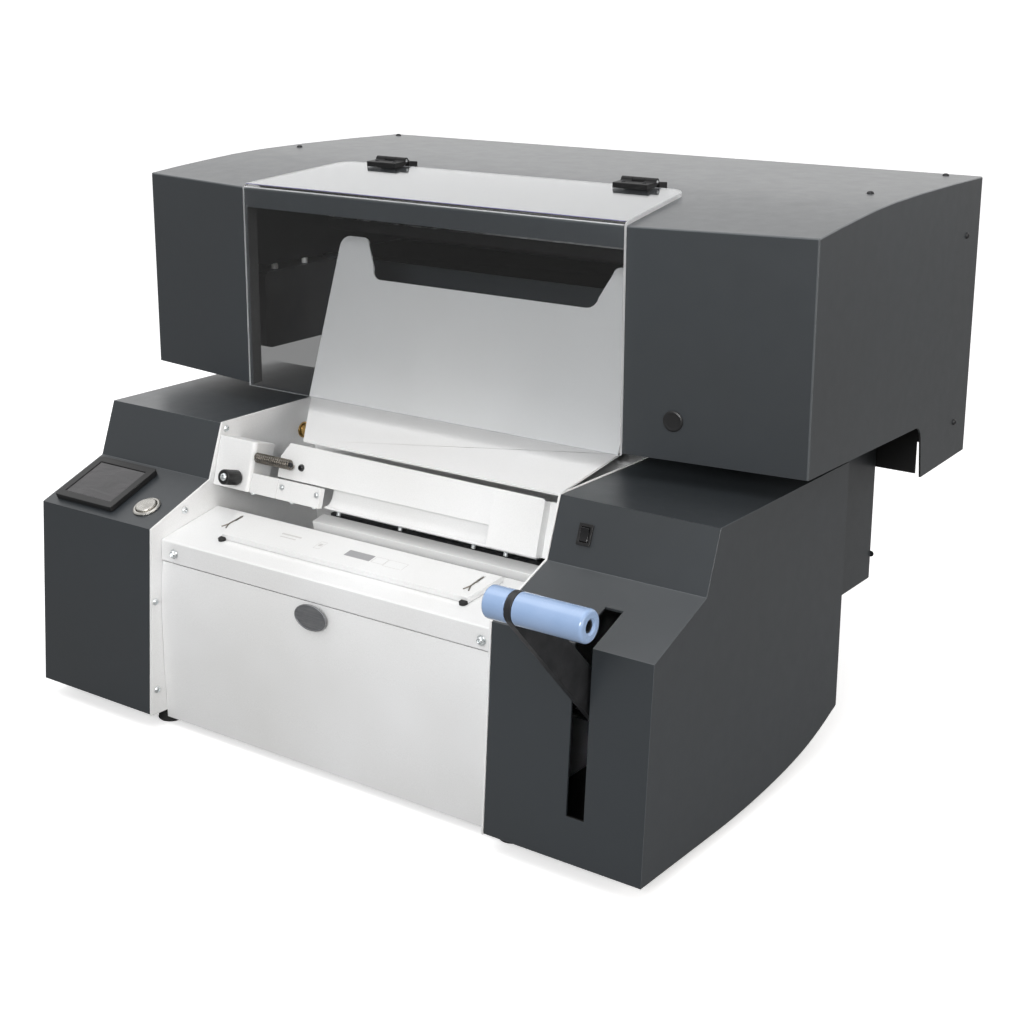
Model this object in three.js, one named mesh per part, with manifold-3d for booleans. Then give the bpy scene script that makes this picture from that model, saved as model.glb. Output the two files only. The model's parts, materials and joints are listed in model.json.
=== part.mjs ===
// Tabletop printing press: a lever-closed clamp in an open bay between two side
// housings, a leaning feed tray, and a cantilevered hood that holds the
// travelling print carriage behind a hinged clear cover.
// Millimetres. +X to the operator's right, +Y to the rear, +Z up.
// The pieces are laid out from the front bottom edge of the side housings (y = 0)
// and the table plane (z = 0); the whole group is then moved by -ORIGIN_Y, so the
// part's origin is the middle of its footprint's box, on the table plane.
import * as THREE from 'three';
import { mergeVertices } from 'three/addons/utils/BufferGeometryUtils.js';
import Module from 'manifold-3d';

const wasm = await Module();
wasm.setup();

// ---------------------------------------------------------------- dimensions
const ORIGIN_Y = 262.5;        // from the housings' front edge back to the origin
const SHEET = 2;               // folded steel sheet
const HALF_W = 380;            // base half width
const BAY = 215.3;             // inner face of each side housing
const PLATE_OUT = 215, PLATE_IN = 213; // white side plates
const BAY_IN = 212.6;          // parts that fit between the side plates

// side profile of a housing (y, z): straight folds, and a curved belly underneath
const BELLY = new THREE.SplineCurve([[375.4, 50.5], [330, 34], [281, 23.4], [215, 16.6], [152.7, 14.5], [79, 15.4], [0, 17]]
  .map(([y, z]) => new THREE.Vector2(y, z))).getPoints(22).map((v) => [v.x, v.y]);
const PROFILE = [
  [0, 17], [13, 216.3], [98.3, 248.8], [119.4, 305.9], [375.4, 305], ...BELLY.slice(0, -1),
];
const CONSOLE_Y = 13, CONSOLE_Z = 216.3;
const CONSOLE_TILT = Math.atan2(32.5, 85.3);
const FACE_Y = 98.3, FACE_Z = 248.8;
const FACE_TILT = Math.atan2(57.1, 21.1);

// lever and its slot in the right housing
const SLOT_X0 = 301.5, SLOT_X1 = 320, SLOT_REAR_Y = 61, SLOT_BOTTOM_Z = 60;
const PIVOT_Y = 56, PIVOT_Z = 135;      // cross shaft
const GRIP_Y = -88, GRIP_Z = 282.3;     // grip axis with the lever at rest
const ARM_X0 = 309.6, ARM_X1 = 316.3;
const GRIP_R = 14, GRIP_X0 = 287, GRIP_X1 = 382;
const SHAFT_R = 8;

// clamp frame: its face leans back by CLAMP_TILT about X
const CLAMP_TILT = 15.8 * Math.PI / 180;
const CLAMP_Y = 101.9, CLAMP_Z = 244.4;
const BAR_X0 = -134.5, BAR_X1 = 191;

// tray
const TRAY_FOLD_Y = 232, TRAY_FOLD_Z = 315, TRAY_TOP_Y = 300, TRAY_TOP_Z = 484;

// hood
const HOOD_FRONT = 198.3, HOOD_REAR = 638.5;
const HOOD_HALF_FRONT = 411, HOOD_HALF_REAR = 395, HOOD_CORNER_Y = 220;
const WIN_X0 = -243, WIN_X1 = 232;      // window between the front boxes
const LIP_Z = 523;                      // lower edge of the lip over the window
const HOOD_TOP = [[198.3, 543.2], [220, 545.3], [260, 549.3], [300, 552.6],
  [345, 556], [390, 558], [460, 559], [550, 558.8], [638.5, 557.5]];

// clear cover and its hinge axis
const COVER_T = 4, COVER_X0 = -244, COVER_X1 = 231;
const COVER_REAR = 333.5, COVER_TAPER_L = 23, COVER_TAPER_R = 16.5; // the top narrows to the rear
const HINGE_Y = 336, HINGE_Z = 566;
const HINGE_X = [-155.5, 160];

// ------------------------------------------------------------------- helpers
const V3 = THREE.Vector3;
const clean = (g) => {
  const c = g.index ? g.toNonIndexed() : g.clone();
  c.deleteAttribute('normal');
  if (c.getAttribute('uv')) c.deleteAttribute('uv');
  return mergeVertices(c, 1e-4);
};
const solid = (g) => {
  const c = clean(g);
  return new wasm.Manifold(new wasm.Mesh({
    numProp: 3,
    vertProperties: new Float32Array(c.getAttribute('position').array),
    triVerts: new Uint32Array(c.index.array),
  }));
};
const geo = (m) => {
  const mesh = m.getMesh();
  const g = new THREE.BufferGeometry();
  g.setAttribute('position', new THREE.BufferAttribute(new Float32Array(mesh.vertProperties), 3));
  g.setIndex(new THREE.BufferAttribute(new Uint32Array(mesh.triVerts), 1));
  return g;
};
const cut = (a, ...bs) => geo(bs.reduce((s, b) => s.subtract(solid(b)), solid(a)));
const join = (a, ...bs) => geo(bs.reduce((s, b) => s.add(solid(b)), solid(a)));
const meet = (a, ...bs) => geo(bs.reduce((s, b) => s.intersect(solid(b)), solid(a)));

const shapeOf = (pts, holes = []) => {
  const s = new THREE.Shape(pts.map(([a, b]) => new THREE.Vector2(a, b)));
  for (const h of holes) s.holes.push(new THREE.Path(h.map(([a, b]) => new THREE.Vector2(a, b))));
  return s;
};
const extrude = (pts, depth, holes) => new THREE.ExtrudeGeometry(shapeOf(pts, holes), { depth, bevelEnabled: false, steps: 1 });
const basisX = new THREE.Matrix4().makeBasis(new V3(0, 1, 0), new V3(0, 0, 1), new V3(1, 0, 0));
const basisY = new THREE.Matrix4().makeBasis(new V3(1, 0, 0), new V3(0, 0, 1), new V3(0, -1, 0));
// section (y, z) run along X; (x, z) run along Y; (x, y) run along Z
const prismX = (pts, x0, x1, holes) => extrude(pts, x1 - x0, holes).applyMatrix4(basisX).translate(x0, 0, 0);
const prismY = (pts, y0, y1, holes) => extrude(pts, y1 - y0, holes).applyMatrix4(basisY).translate(0, y1, 0);
const prismZ = (pts, z0, z1, holes) => extrude(pts, z1 - z0, holes).translate(0, 0, z0);
const box = (x0, x1, y0, y1, z0, z1) => new THREE.BoxGeometry(x1 - x0, y1 - y0, z1 - z0)
  .translate((x0 + x1) / 2, (y0 + y1) / 2, (z0 + z1) / 2);
const circle = (cx, cy, r, n = 24, a0 = 0) => Array.from({ length: n }, (_, i) => {
  const a = a0 + i * 2 * Math.PI / n; return [cx + r * Math.cos(a), cy + r * Math.sin(a)];
});
const arc = (cx, cy, r, a0, a1, n) => Array.from({ length: n + 1 }, (_, i) => {
  const a = (a0 + (a1 - a0) * i / n) * Math.PI / 180; return [cx + r * Math.cos(a), cy + r * Math.sin(a)];
});
const rounded = (x0, x1, y0, y1, r, n = 4) => [
  ...arc(x1 - r, y1 - r, r, 0, 90, n), ...arc(x0 + r, y1 - r, r, 90, 180, n),
  ...arc(x0 + r, y0 + r, r, 180, 270, n), ...arc(x1 - r, y0 + r, r, 270, 360, n)];
// a body of revolution about local Z: profile points (r, z)
const lathe = (pts, n = 28) => new THREE.LatheGeometry(pts.map(([r, z]) => new THREE.Vector2(r, z)), n).rotateX(Math.PI / 2);
const rodX = (x0, x1, y, z, r, n = 24) => prismX(circle(y, z, r, n), x0, x1);
// offsets: of an open line to its left, and of a closed counter-clockwise outline inward
const offsetLine = (pts, t) => pts.map((p, i) => {
  const dir = (a, b) => { const d = [b[0] - a[0], b[1] - a[1]], l = Math.hypot(...d); return [d[0] / l, d[1] / l]; };
  const d0 = i > 0 ? dir(pts[i - 1], p) : dir(p, pts[i + 1]);
  const d1 = i < pts.length - 1 ? dir(p, pts[i + 1]) : d0;
  const n0 = [-d0[1], d0[0]], n1 = [-d1[1], d1[0]];
  const m = [n0[0] + n1[0], n0[1] + n1[1]], k = 2 / (m[0] ** 2 + m[1] ** 2);
  return [p[0] + m[0] * k * t, p[1] + m[1] * k * t];
});
const offsetLoop = (pts, t) => {
  const n = pts.length, ring = [pts[n - 1], ...pts, pts[0]];
  return offsetLine(ring, t).slice(1, n + 1);
};
const ccw = (pts) => (THREE.ShapeUtils.area(pts.map(([a, b]) => new THREE.Vector2(a, b))) > 0 ? pts : [...pts].reverse());
// a folded sheet: outer line, thickness to its left
const bent = (line, t, x0, x1) => prismX([...line, ...offsetLine(line, t).reverse()], x0, x1);

const MAT = (color, roughness, metalness, extra = {}) => new THREE.MeshStandardMaterial({ color, roughness, metalness, ...extra });
const graphite = MAT(0x4a5054, 0.62, 0.25), white = MAT(0xeeeeec, 0.5, 0.1), black = MAT(0x151515, 0.55, 0.1);
const darkSteel = MAT(0x2c2d2f, 0.45, 0.7), zinc = MAT(0xb8bcc0, 0.35, 0.9), steel = MAT(0xa9adb0, 0.3, 0.95);
const rubber = MAT(0x141414, 0.9, 0), brass = MAT(0xb98a3e, 0.3, 0.95), blue = MAT(0xa3bcdd, 0.22, 0);
const clear = MAT(0xffffff, 0.05, 0, { transparent: true, opacity: 0.2 }), glass = MAT(0x0b0c0e, 0.08, 0.1);
const silver = MAT(0xb9bcc0, 0.35, 0.8), aluminium = MAT(0x9c9fa3, 0.4, 0.85), copper = MAT(0x8d5a32, 0.4, 0.8);

const press = new THREE.Group();
press.name = 'tabletop_printing_press';
const put = (name, geometry, material, parent = press) => {
  const mesh = new THREE.Mesh(geometry, material);
  mesh.name = name;
  parent.add(mesh);
  return mesh;
};
// a nested frame, and its matrix before the whole group is moved
const frameAt = (x, y, z, rx = 0, rz = 0) => {
  const g = new THREE.Group();
  g.position.set(x, y, z);
  g.rotation.set(rx, 0, rz);
  press.add(g);
  g.updateMatrix();
  return g;
};
const inFrame = (g, geometry) => geometry.clone().applyMatrix4(g.matrix);

// local frames: on the sloped consoles, on the steep faces, and on the clamp
const consoleFrame = frameAt(0, CONSOLE_Y, CONSOLE_Z, CONSOLE_TILT);
const faceFrame = frameAt(0, FACE_Y, FACE_Z, FACE_TILT);
const clampFrame = frameAt(0, CLAMP_Y, CLAMP_Z, -CLAMP_TILT);

// -------------------------------------------------------- chassis and feet
put('chassis_base', join(
  box(-BAY_IN, BAY_IN, 26, 412, 18, 23),
  box(-BAY_IN, BAY_IN, 408, 412, 18, 300),
), darkSteel);
const foot = (h, r) => lathe([[0, 0], [r - 1.5, 0], [r, 1.5], [r - 1.5, h], [0, h]], 24);
[['foot_front_left', -222, 36, 14.6], ['foot_front_right', 222, 36, 14.6],
  ['foot_rear_left', -190, 392, 17.6], ['foot_rear_right', 190, 392, 17.6]].forEach(([n, x, y, h]) => {
  put(n, foot(h, 14), rubber).position.set(x, y, 0);
});

// ------------------------------------------------------- white side plates
const plateProfile = (() => {
  const p = offsetLoop(ccw(PROFILE), -0.9).map(([y, z]) => [Math.min(y, 414.6), z]);
  return p.map(([y, z]) => (y > 375 ? [414.6, z > 200 ? z : 50] : [y, z]));
})();
const bushY = 244, bushZ = 272;
const platePlain = (x0, x1) => prismX(plateProfile, x0, x1, [circle(PIVOT_Y, PIVOT_Z, SHAFT_R + 3, 20)]);
put('side_plate_left', platePlain(-PLATE_OUT, -PLATE_IN), white);
put('side_plate_right', platePlain(PLATE_IN, PLATE_OUT), white);

// ---------------------------------------------------------- side housings
const housing = (sgn) => {
  const out = ccw(PROFILE), inner = offsetLoop(out, SHEET);
  const [a0, a1, b0, b1] = sgn > 0 ? [BAY, HALF_W, BAY - 2, HALF_W - SHEET] : [-HALF_W, -BAY, -HALF_W + SHEET, -BAY + 2];
  return cut(prismX(out, a0, a1), prismX(inner, b0, b1));
};
// display bezel seat and push-button holes are cut square to the console
const BTN_X = 248, BTN_S = 29;       // button: x, distance up the console
const DISP = [-369, -281, 9, 82];    // bezel: x0, x1, s0, s1
const btnHole = (x) => inFrame(consoleFrame, lathe([[0, -6], [12.8, -6], [12.8, 6], [0, 6]], 24).translate(x, BTN_S, 0));
const dispHole = inFrame(consoleFrame, box(DISP[0] + 6, DISP[1] - 6, DISP[2] + 6, DISP[3] - 6, -6, 6));
const RK = [242, 256.5, 20, 40];     // rocker frame on the steep face
const rockHole = inFrame(faceFrame, box(RK[0] + 1.2, RK[1] - 1.2, RK[2] + 1.2, RK[3] - 1.2, -8, 8));
put('housing_left', cut(housing(-1), btnHole(-BTN_X), dispHole), graphite);
put('housing_right', cut(housing(1), btnHole(BTN_X), rockHole,
  box(SLOT_X0, SLOT_X1, -8, SLOT_REAR_Y, SLOT_BOTTOM_Z, 262)), graphite);

// ------------------------------------------------------------ bay panels
put('front_panel', bent([[21.9, 8.2], [20.4, 70], [20.6, 120], [21.6, 150], [25.2, 180]].reverse(), 1.5, -BAY_IN, BAY_IN), white);
put('front_badge', prismY(Array.from({ length: 36 }, (_, i) => {
  const a = i * Math.PI / 18; return [-4 + 20 * Math.cos(a), 167.5 + 13 * Math.sin(a)];
}), 17.2, 19.2), silver);
put('shelf', bent([[108, 190], [108, 218.6], [25.1, 203.3], [24.6, 181]], SHEET, -BAY_IN, BAY_IN), white);
const backWall = [[262, 40], [262, 296], [266, 300], [400, 300]];
put('back_wall', bent(backWall, -1.5, -BAY_IN, BAY_IN), white);

// guide strip: a flat box on the shelf, its left end cut on the skew
const shelfTilt = Math.atan2(15.3, 82.9);
const shelfFrame = frameAt(0, 25.1, 203.3, shelfTilt);
put('guide_strip', cut(prismZ([[-151, 27], [160, 27], [166, 74], [-173, 74]], 0.4, 6.5),
  box(-161, -157, 54, 68, 3.5, 9), box(148, 152, 54, 68, 3.5, 9)), white, shelfFrame);

// ------------------------------------------------ lower jaw and anvil
const jawFrame = frameAt(0, 113, 224.5, shelfTilt);
put('lower_jaw', prismX([[0, 0], [0, -10], [18, -13], [18, 0]].reverse(), -84, 188), white, jawFrame);
put('anvil_bar', join(prismX([[110.5, 150], [133, 150], [133, 208.5], [110.5, 210.6]], -84, 190),
  box(-84, 190, 132, 170, 150, 190), box(-84, 190, 141, 170, 188, 226)), darkSteel);

// ----------------------------------------- left guide bracket and side rail
put('guide_bracket', cut(box(-212.6, -162.5, 0, 30, -1, 51.5), prismX([[6, 12], [26, 12], [26, 42], [6, 42]], -215, -168)), white, clampFrame);
put('guide_rod', rodX(-162.2, -111.9, 3.5, 36, 2.2, 16), steel, clampFrame);
const springPts = () => {
  const out = [[2.9, 0]];
  const n = 16, len = 50, r = 5.4;
  for (let i = 0; i < n; i++) {
    const a = i * len / n, p = len / n;
    out.push([r - 1.1, a], [r, a + p * 0.25], [r, a + p * 0.6], [r - 1.1, a + p * 0.85]);
  }
  out.push([r - 1.1, len], [2.9, len], [2.9, 0]);
  return out;
};
{
  const s = put('guide_spring', lathe(springPts(), 18), darkSteel, clampFrame);
  s.rotation.set(0, Math.PI / 2, 0);
  s.position.set(-161.6, 3.5, 36);
}
put('side_rail', cut(box(-162, -68, 2, 8.5, -1, 19.5), box(-126, -124, 1, 3, -2, 20)), white, clampFrame);
// knob: axis along the clamp frame's -Y
{
  const k = put('stop_knob', lathe([[0, 0], [5.6, 0], [5.6, 1.5], [8, 2.2], [8, 21], [7.3, 22], [4.4, 22], [4.4, 20.8], [0, 20.8]], 28), rubber, clampFrame);
  k.rotation.set(Math.PI / 2, 0, 0);
  k.position.set(-179, -0.4, 11.5);
}
{
  const b = put('brass_bush', lathe([[4, 0], [9, 0], [9, 2], [7, 3], [7, 9], [4, 9], [4, 0]], 24), brass);
  b.rotation.set(0, Math.PI / 2, 0);
  b.position.set(-212.6, bushY, bushZ);
}

// ------------------------------------------------------- clamp bar group
put('clamp_bar', prismY([[BAR_X0, 20.7], [BAR_X1, 20.7], [BAR_X1, 56], [-124, 57.5], [BAR_X0, 42.5]], 10, 13), white, clampFrame);
const channel = [[9.8, 0], [9.8, 2.2], [13, 2.2], [17, 5], [19.5, 10], [20, 20], [13.4, 20.4], [13.4, 52], [36, 52], [36, 0]];
put('pressure_channel', prismX(ccw(channel), -66, 191), white, clampFrame);
put('clamp_end_plate', join(prismX([[7.4, 1], [9.4, 1], [9.4, 55], [7.4, 55]], 137, 194.5),
  box(191.4, 194.5, 8, 20, 1, 54), box(191.4, 203.5, 18, 36, 1, 54)), white, clampFrame);
put('guide_pins', join(box(-66, 186, 22, 30, -2.2, -0.4),
  ...[-58, 22, 112, 150].map((x) => lathe([[0, -6], [2.2, -6], [2.2, -1], [0, -1]], 14).translate(x, 24.5, 0))), zinc, clampFrame);
put('clamp_link', prismX(ccw([[112, 233], [126, 234], [131, 150], [118, 118], [104, 118], [104, 140], [116, 152]]), 196, 202), darkSteel);

// feed tray: flange forward to the bar, fold, leaning back plate with a notch
{
  const flangeLen = Math.hypot(TRAY_FOLD_Y - 128.4, TRAY_FOLD_Z - 300.6);
  const fa = Math.atan2(TRAY_FOLD_Z - 300.6, TRAY_FOLD_Y - 128.4);
  const m1 = new THREE.Matrix4().makeTranslation(0, 128.4, 300.6).multiply(new THREE.Matrix4().makeRotationX(fa));
  const flange = prismZ([[-107, 0], [207, 0], [207, flangeLen + 0.6], [-189, flangeLen + 0.6]], 0, 2).applyMatrix4(m1);
  const backLen = Math.hypot(TRAY_TOP_Y - TRAY_FOLD_Y, TRAY_TOP_Z - TRAY_FOLD_Z);
  const ba = Math.atan2(TRAY_TOP_Z - TRAY_FOLD_Z, TRAY_TOP_Y - TRAY_FOLD_Y);
  const m2 = new THREE.Matrix4().makeTranslation(0, TRAY_FOLD_Y, TRAY_FOLD_Z).multiply(new THREE.Matrix4().makeRotationX(ba));
  const H = backLen, N = 44, r = 12;
  const outline = [
    [-189, 0], [207, 0], [203, H - r],
    ...arc(203 - r, H - r, r, 0, 90, 4), ...arc(157 + 8, H - 8, 8, 90, 180, 3),
    ...arc(147 - r, H - N + r, r, 0, -90, 4), ...arc(-141 + r, H - N + r, r, 270, 180, 4),
    ...arc(-155 - 8, H - 8, 8, 0, 90, 3), ...arc(-195 + r, H - r, r, 90, 180, 4)];
  const back = prismZ(outline, 0, 2).applyMatrix4(m2);
  put('feed_tray', join(flange, back), white);
}

// -------------------------------------------------- display, buttons, rocker
put('display_bezel', cut(
  join(prismZ(rounded(DISP[0], DISP[1], DISP[2], DISP[3], 4), 0.4, 6.5),
    box(DISP[0] + 6.5, DISP[1] - 6.5, DISP[2] + 6.5, DISP[3] - 6.5, -9, 1)),
  box(DISP[0] + 9, DISP[1] - 9, DISP[2] + 9, DISP[3] - 9, 3.5, 8)), black, consoleFrame);
put('display_glass', box(DISP[0] + 9.4, DISP[1] - 9.4, DISP[2] + 9.4, DISP[3] - 9.4, 3.8, 5.6), glass, consoleFrame);
for (const [side, x] of [['left', -BTN_X], ['right', BTN_X]]) {
  const ring = put(`button_ring_${side}`, lathe([[11.5, -14], [12.4, -14], [12.4, 0.4], [15, 0.4], [15, 1.6], [13.6, 2.6], [11.5, 2.6], [11.5, -14]], 32), steel, consoleFrame);
  ring.position.set(x, BTN_S, 0);
  const cap = put(`push_button_${side}`, lathe([[0, -10], [11, -10], [11, 4.2], [9.5, 4.9], [5, 5.3], [0, 5.4]], 32), steel, consoleFrame);
  cap.position.set(x, BTN_S, 0);
}
put('rocker_frame', cut(box(RK[0], RK[1], RK[2], RK[3], 0.4, 2.2),
  box(RK[0] + 2.4, RK[1] - 2.4, RK[2] + 3, RK[3] - 3, -1, 4)), black, faceFrame);
// rocker paddle: shallow V seen from the side, pivoting on its middle line
put('power_rocker', prismX(ccw([[23.6, -5], [36.4, -5], [36.4, 4.2], [30, 2.6], [23.6, 3]]), RK[0] + 2.8, RK[1] - 2.8), black, faceFrame);

// ------------------------------------------------------------------- lever
const leverAng = Math.atan2(GRIP_Z - PIVOT_Z, GRIP_Y - PIVOT_Y);
const capsule = (ay, az, ra, by, bz, rb, n = 14) => {
  const a = Math.atan2(bz - az, by - ay), k = Math.acos((ra - rb) / Math.hypot(by - ay, bz - az));
  const p = [];
  for (let i = 0; i <= n; i++) { const t = a + k + (2 * Math.PI - 2 * k) * i / n; p.push([ay + ra * Math.cos(t), az + ra * Math.sin(t)]); }
  for (let i = 0; i <= n; i++) { const t = a - k + 2 * k * i / n; p.push([by + rb * Math.cos(t), bz + rb * Math.sin(t)]); }
  return p;
};
put('lever_arm', cut(prismX(ccw(capsule(PIVOT_Y, PIVOT_Z, 17.5, GRIP_Y, GRIP_Z, GRIP_R + 0.1)), ARM_X0, ARM_X1),
  rodX(ARM_X0 - 2, ARM_X1 + 2, PIVOT_Y, PIVOT_Z, SHAFT_R + 0.3), rodX(ARM_X0 - 2, ARM_X1 + 2, GRIP_Y, GRIP_Z, 5.5)), darkSteel);
put('lever_shaft', rodX(-205, 350, PIVOT_Y, PIVOT_Z, SHAFT_R), steel);
put('lever_cam', cut(rodX(194, 204, PIVOT_Y + 8, PIVOT_Z, 26, 32), rodX(190, 208, PIVOT_Y, PIVOT_Z, SHAFT_R + 0.3)), darkSteel);
{
  const g = frameAt(GRIP_X0, GRIP_Y, GRIP_Z);
  const toX = (m, x) => { m.rotation.set(0, Math.PI / 2, 0); m.position.set(x, 0, 0); return m; };
  const L1 = ARM_X0 - 0.3 - GRIP_X0, L2 = GRIP_X1 - (ARM_X1 + 0.3);
  toX(put('grip_inner', lathe([[0, 0], [GRIP_R - 3, 0], [GRIP_R - 0.9, 0.9], [GRIP_R, 3], [GRIP_R, L1 - 0.8], [GRIP_R - 0.6, L1], [0, L1]], 36), blue, g), 0);
  toX(put('grip_outer', lathe([[0, 0], [GRIP_R - 0.6, 0], [GRIP_R, 0.8], [GRIP_R, L2 - 7.4], [GRIP_R - 0.8, L2 - 4.1], [GRIP_R - 2.7, L2 - 1.4],
    [GRIP_R - 5.8, L2], [6.2, L2], [5.2, L2 - 1], [5.2, L2 - 24], [0, L2 - 24]], 36), blue, g), ARM_X1 + 0.3 - GRIP_X0);
}
// bearing blocks on the outer faces of the side plate and inside the bay
put('shaft_bearing', cut(box(216.5, 236, PIVOT_Y - 22, PIVOT_Y + 22, PIVOT_Z - 22, PIVOT_Z + 22), rodX(214, 240, PIVOT_Y, PIVOT_Z, SHAFT_R + 0.3)), aluminium);

// -------------------------------------------------------------------- hood
const topAt = (y) => {
  for (let i = 1; i < HOOD_TOP.length; i++) {
    const [y0, z0] = HOOD_TOP[i - 1], [y1, z1] = HOOD_TOP[i];
    if (y <= y1) return z0 + (z1 - z0) * (y - y0) / (y1 - y0);
  }
  return HOOD_TOP[HOOD_TOP.length - 1][1];
};
const plan = (d) => ccw(offsetLoop(ccw([[WIN_X0, HOOD_FRONT], [WIN_X1, HOOD_FRONT], [HOOD_HALF_FRONT, HOOD_CORNER_Y],
  [HOOD_HALF_REAR, HOOD_REAR], [-HOOD_HALF_REAR, HOOD_REAR], [-HOOD_HALF_FRONT, HOOD_CORNER_Y]]), d));
const side = (d, zlow) => {
  const top = [[150, 538.6], ...HOOD_TOP, [700, 556.6]].map(([y, z]) => [y, z - d]).reverse();
  const low = zlow ? [[150, zlow], [700, zlow]]
    : [[150, 330], [220, 329], [478, 318.2], ...arc(486, 302, 16, 90, 10, 4), [508.5, 261], [700, 261]];
  return ccw([...low, ...top]);
};
{
  const outer = meet(prismZ(plan(0), 200, 620), prismX(side(0), -450, 450));
  const inner = meet(prismZ(plan(SHEET), 200, 620), prismX(side(SHEET, 210), -450, 450));
  const returns = [[WIN_X0, WIN_X0 + 2], [WIN_X1 - 2, WIN_X1]].map(([a, b]) => box(a, b, HOOD_FRONT + 0.2, HOOD_FRONT + 14, 329.4, 542));
  const plugC = [(281 - WIN_X1) / (HOOD_HALF_FRONT - WIN_X1)];
  const plugY = HOOD_FRONT + plugC[0] * (HOOD_CORNER_Y - HOOD_FRONT);
  const hole = prismY(circle(281, 367, 8.3, 24), plugY - 12, plugY + 12);
  const shell = cut(outer, inner, box(WIN_X0 + 1, WIN_X1 - 1, 190, HOOD_FRONT + 6, 300, LIP_Z), hole);
  put('hood', join(shell, ...returns), graphite);
  const g = frameAt(281, plugY, 367, 0, Math.atan2(HOOD_CORNER_Y - HOOD_FRONT, HOOD_HALF_FRONT - WIN_X1));
  const p = put('hood_plug', lathe([[0, -6], [7.6, -6], [7.6, 0.4], [10, 0.4], [9.6, 1.4], [8, 1.9], [0, 1.9]], 28), black, g);
  p.rotation.set(Math.PI / 2, 0, 0);
}
put('rear_bulkhead', box(-373, 373, 560, 562, 248, 545), black);
put('rear_column', cut(box(-330, 330, 415, 557, 122, 436), box(-328, 328, 417, 555, 124, 440)), graphite);

// ------------------------------------------- gantry, carriage and drive
put('gantry_plate_left', prismX(ccw([[262, 470], [262, 525], [270, 535], [548, 535], [556, 527], [556, 440], [292, 440], [270, 448]]), -312, -308), darkSteel);
put('gantry_plate_right', prismX(ccw([[262, 470], [262, 525], [270, 535], [548, 535], [556, 527], [556, 440], [292, 440], [270, 448]]), 375, 379), darkSteel);
put('electronics_box', cut(prismX(rounded(284, 412, 346, 434, 8, 3), -388, -300), prismX(rounded(286, 410, 348, 432, 6, 3), -390, -302)), black);
put('gantry_beam', cut(box(-307.6, 374.6, 402, 440, 470, 510), box(-310, 378, 408, 434, 476, 504)), darkSteel);
put('linear_rail', box(-300, 368, 396, 401.6, 484, 496), steel);
put('carriage', cut(box(262, 362, 346, 395.6, 442, 526), box(258, 366, 352, 388, 450, 512),
  box(258, 366, 386, 400, 482, 498)), darkSteel);
put('print_head', join(box(286, 338, 353, 387, 404, 441.6), box(296, 328, 356, 384, 396, 406)), copper);
put('drive_belt', prismZ(rounded(-296, 366, 405, 421, 7.9, 6), 514, 522, [rounded(-294.4, 364.4, 406.6, 419.4, 6.3, 6)]), rubber);
put('drive_motor', join(box(322, 364, 444, 486, 470, 512), rodX(364, 370, 465, 491, 11)), darkSteel);

// --------------------------------------------------- clear cover and hinges
const roundCorner = (p0, p, p1, r, n = 6) => {
  const d = (q) => { const v = [q[0] - p[0], q[1] - p[1]], l = Math.hypot(...v); return [v[0] / l, v[1] / l]; };
  const a = d(p0), b = d(p1), half = Math.acos(a[0] * b[0] + a[1] * b[1]) / 2, t = r / Math.tan(half);
  const m = [a[0] + b[0], a[1] + b[1]], ml = Math.hypot(...m), c = [p[0] + m[0] / ml * r / Math.sin(half), p[1] + m[1] / ml * r / Math.sin(half)];
  const a0 = Math.atan2(p[1] + a[1] * t - c[1], p[0] + a[0] * t - c[0]);
  let a1 = Math.atan2(p[1] + b[1] * t - c[1], p[0] + b[0] * t - c[0]);
  while (a1 - a0 > Math.PI) a1 -= 2 * Math.PI;
  while (a1 - a0 < -Math.PI) a1 += 2 * Math.PI;
  return Array.from({ length: n + 1 }, (_, i) => { const t1 = a0 + (a1 - a0) * i / n; return [c[0] + r * Math.cos(t1), c[1] + r * Math.sin(t1)]; });
};
{
  const outer = [[COVER_REAR, 560.8], ...arc(199.1, 542.3, 5.5, 95.5, 180, 6), [193.6, 328]];
  const body = bent(outer, COVER_T, COVER_X0, COVER_X1);
  const fr = [COVER_X1, 199], rr = [COVER_X1 - COVER_TAPER_R, COVER_REAR], rl = [COVER_X0 + COVER_TAPER_L, COVER_REAR], fl = [COVER_X0, 199];
  const planShape = [[COVER_X1 + 1, 180], [COVER_X1 + 1, 199], fr, ...roundCorner(fr, rr, rl, 14), ...roundCorner(rr, rl, fl, 18), fl, [COVER_X0 - 1, 199], [COVER_X0 - 1, 180]];
  put('clear_cover', meet(body, prismZ(ccw(planShape), 300, 600)), clear);
}
// butt hinges: the front leaf lies on the cover, the rear leaf on the hood
HINGE_X.forEach((hx, i) => {
  const s = i ? 'right' : 'left';
  const g = frameAt(hx, HINGE_Y, HINGE_Z);
  put(`hinge_block_${s}`, join(
    prismX(ccw([[-19, -6.65], [-4.5, -5.25], [-4.5, -0.6], [-18.4, -1.2], [-19, -1.8]]), -20, 20),
    ...[[-20, -7.2], [7.2, 20]].map(([a, b]) => join(rodX(a, b, 0, 0, 3.4, 24),
      prismX(ccw([[-5, -5.2], [-2.2, -4.9], [0, -3.3], [0, 0], [-3, 0.6], [-5, -0.7]]), a, b)))), black, g);
  put(`hinge_leaf_${s}`, join(
    prismX(ccw([[4.6, -10.1], [19, -9.3], [19, -2.8], [18.3, -2.1], [4.6, -0.8]]), -20, 20),
    join(rodX(-6.7, 6.7, 0, 0, 3.4, 24), prismX(ccw([[0, -3.3], [2.6, -7], [5, -10], [5, -0.8], [3, 0.6], [0, 0]]), -6.7, 6.7))), black, g);
});

press.position.y = -ORIGIN_Y;

export default press;
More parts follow.
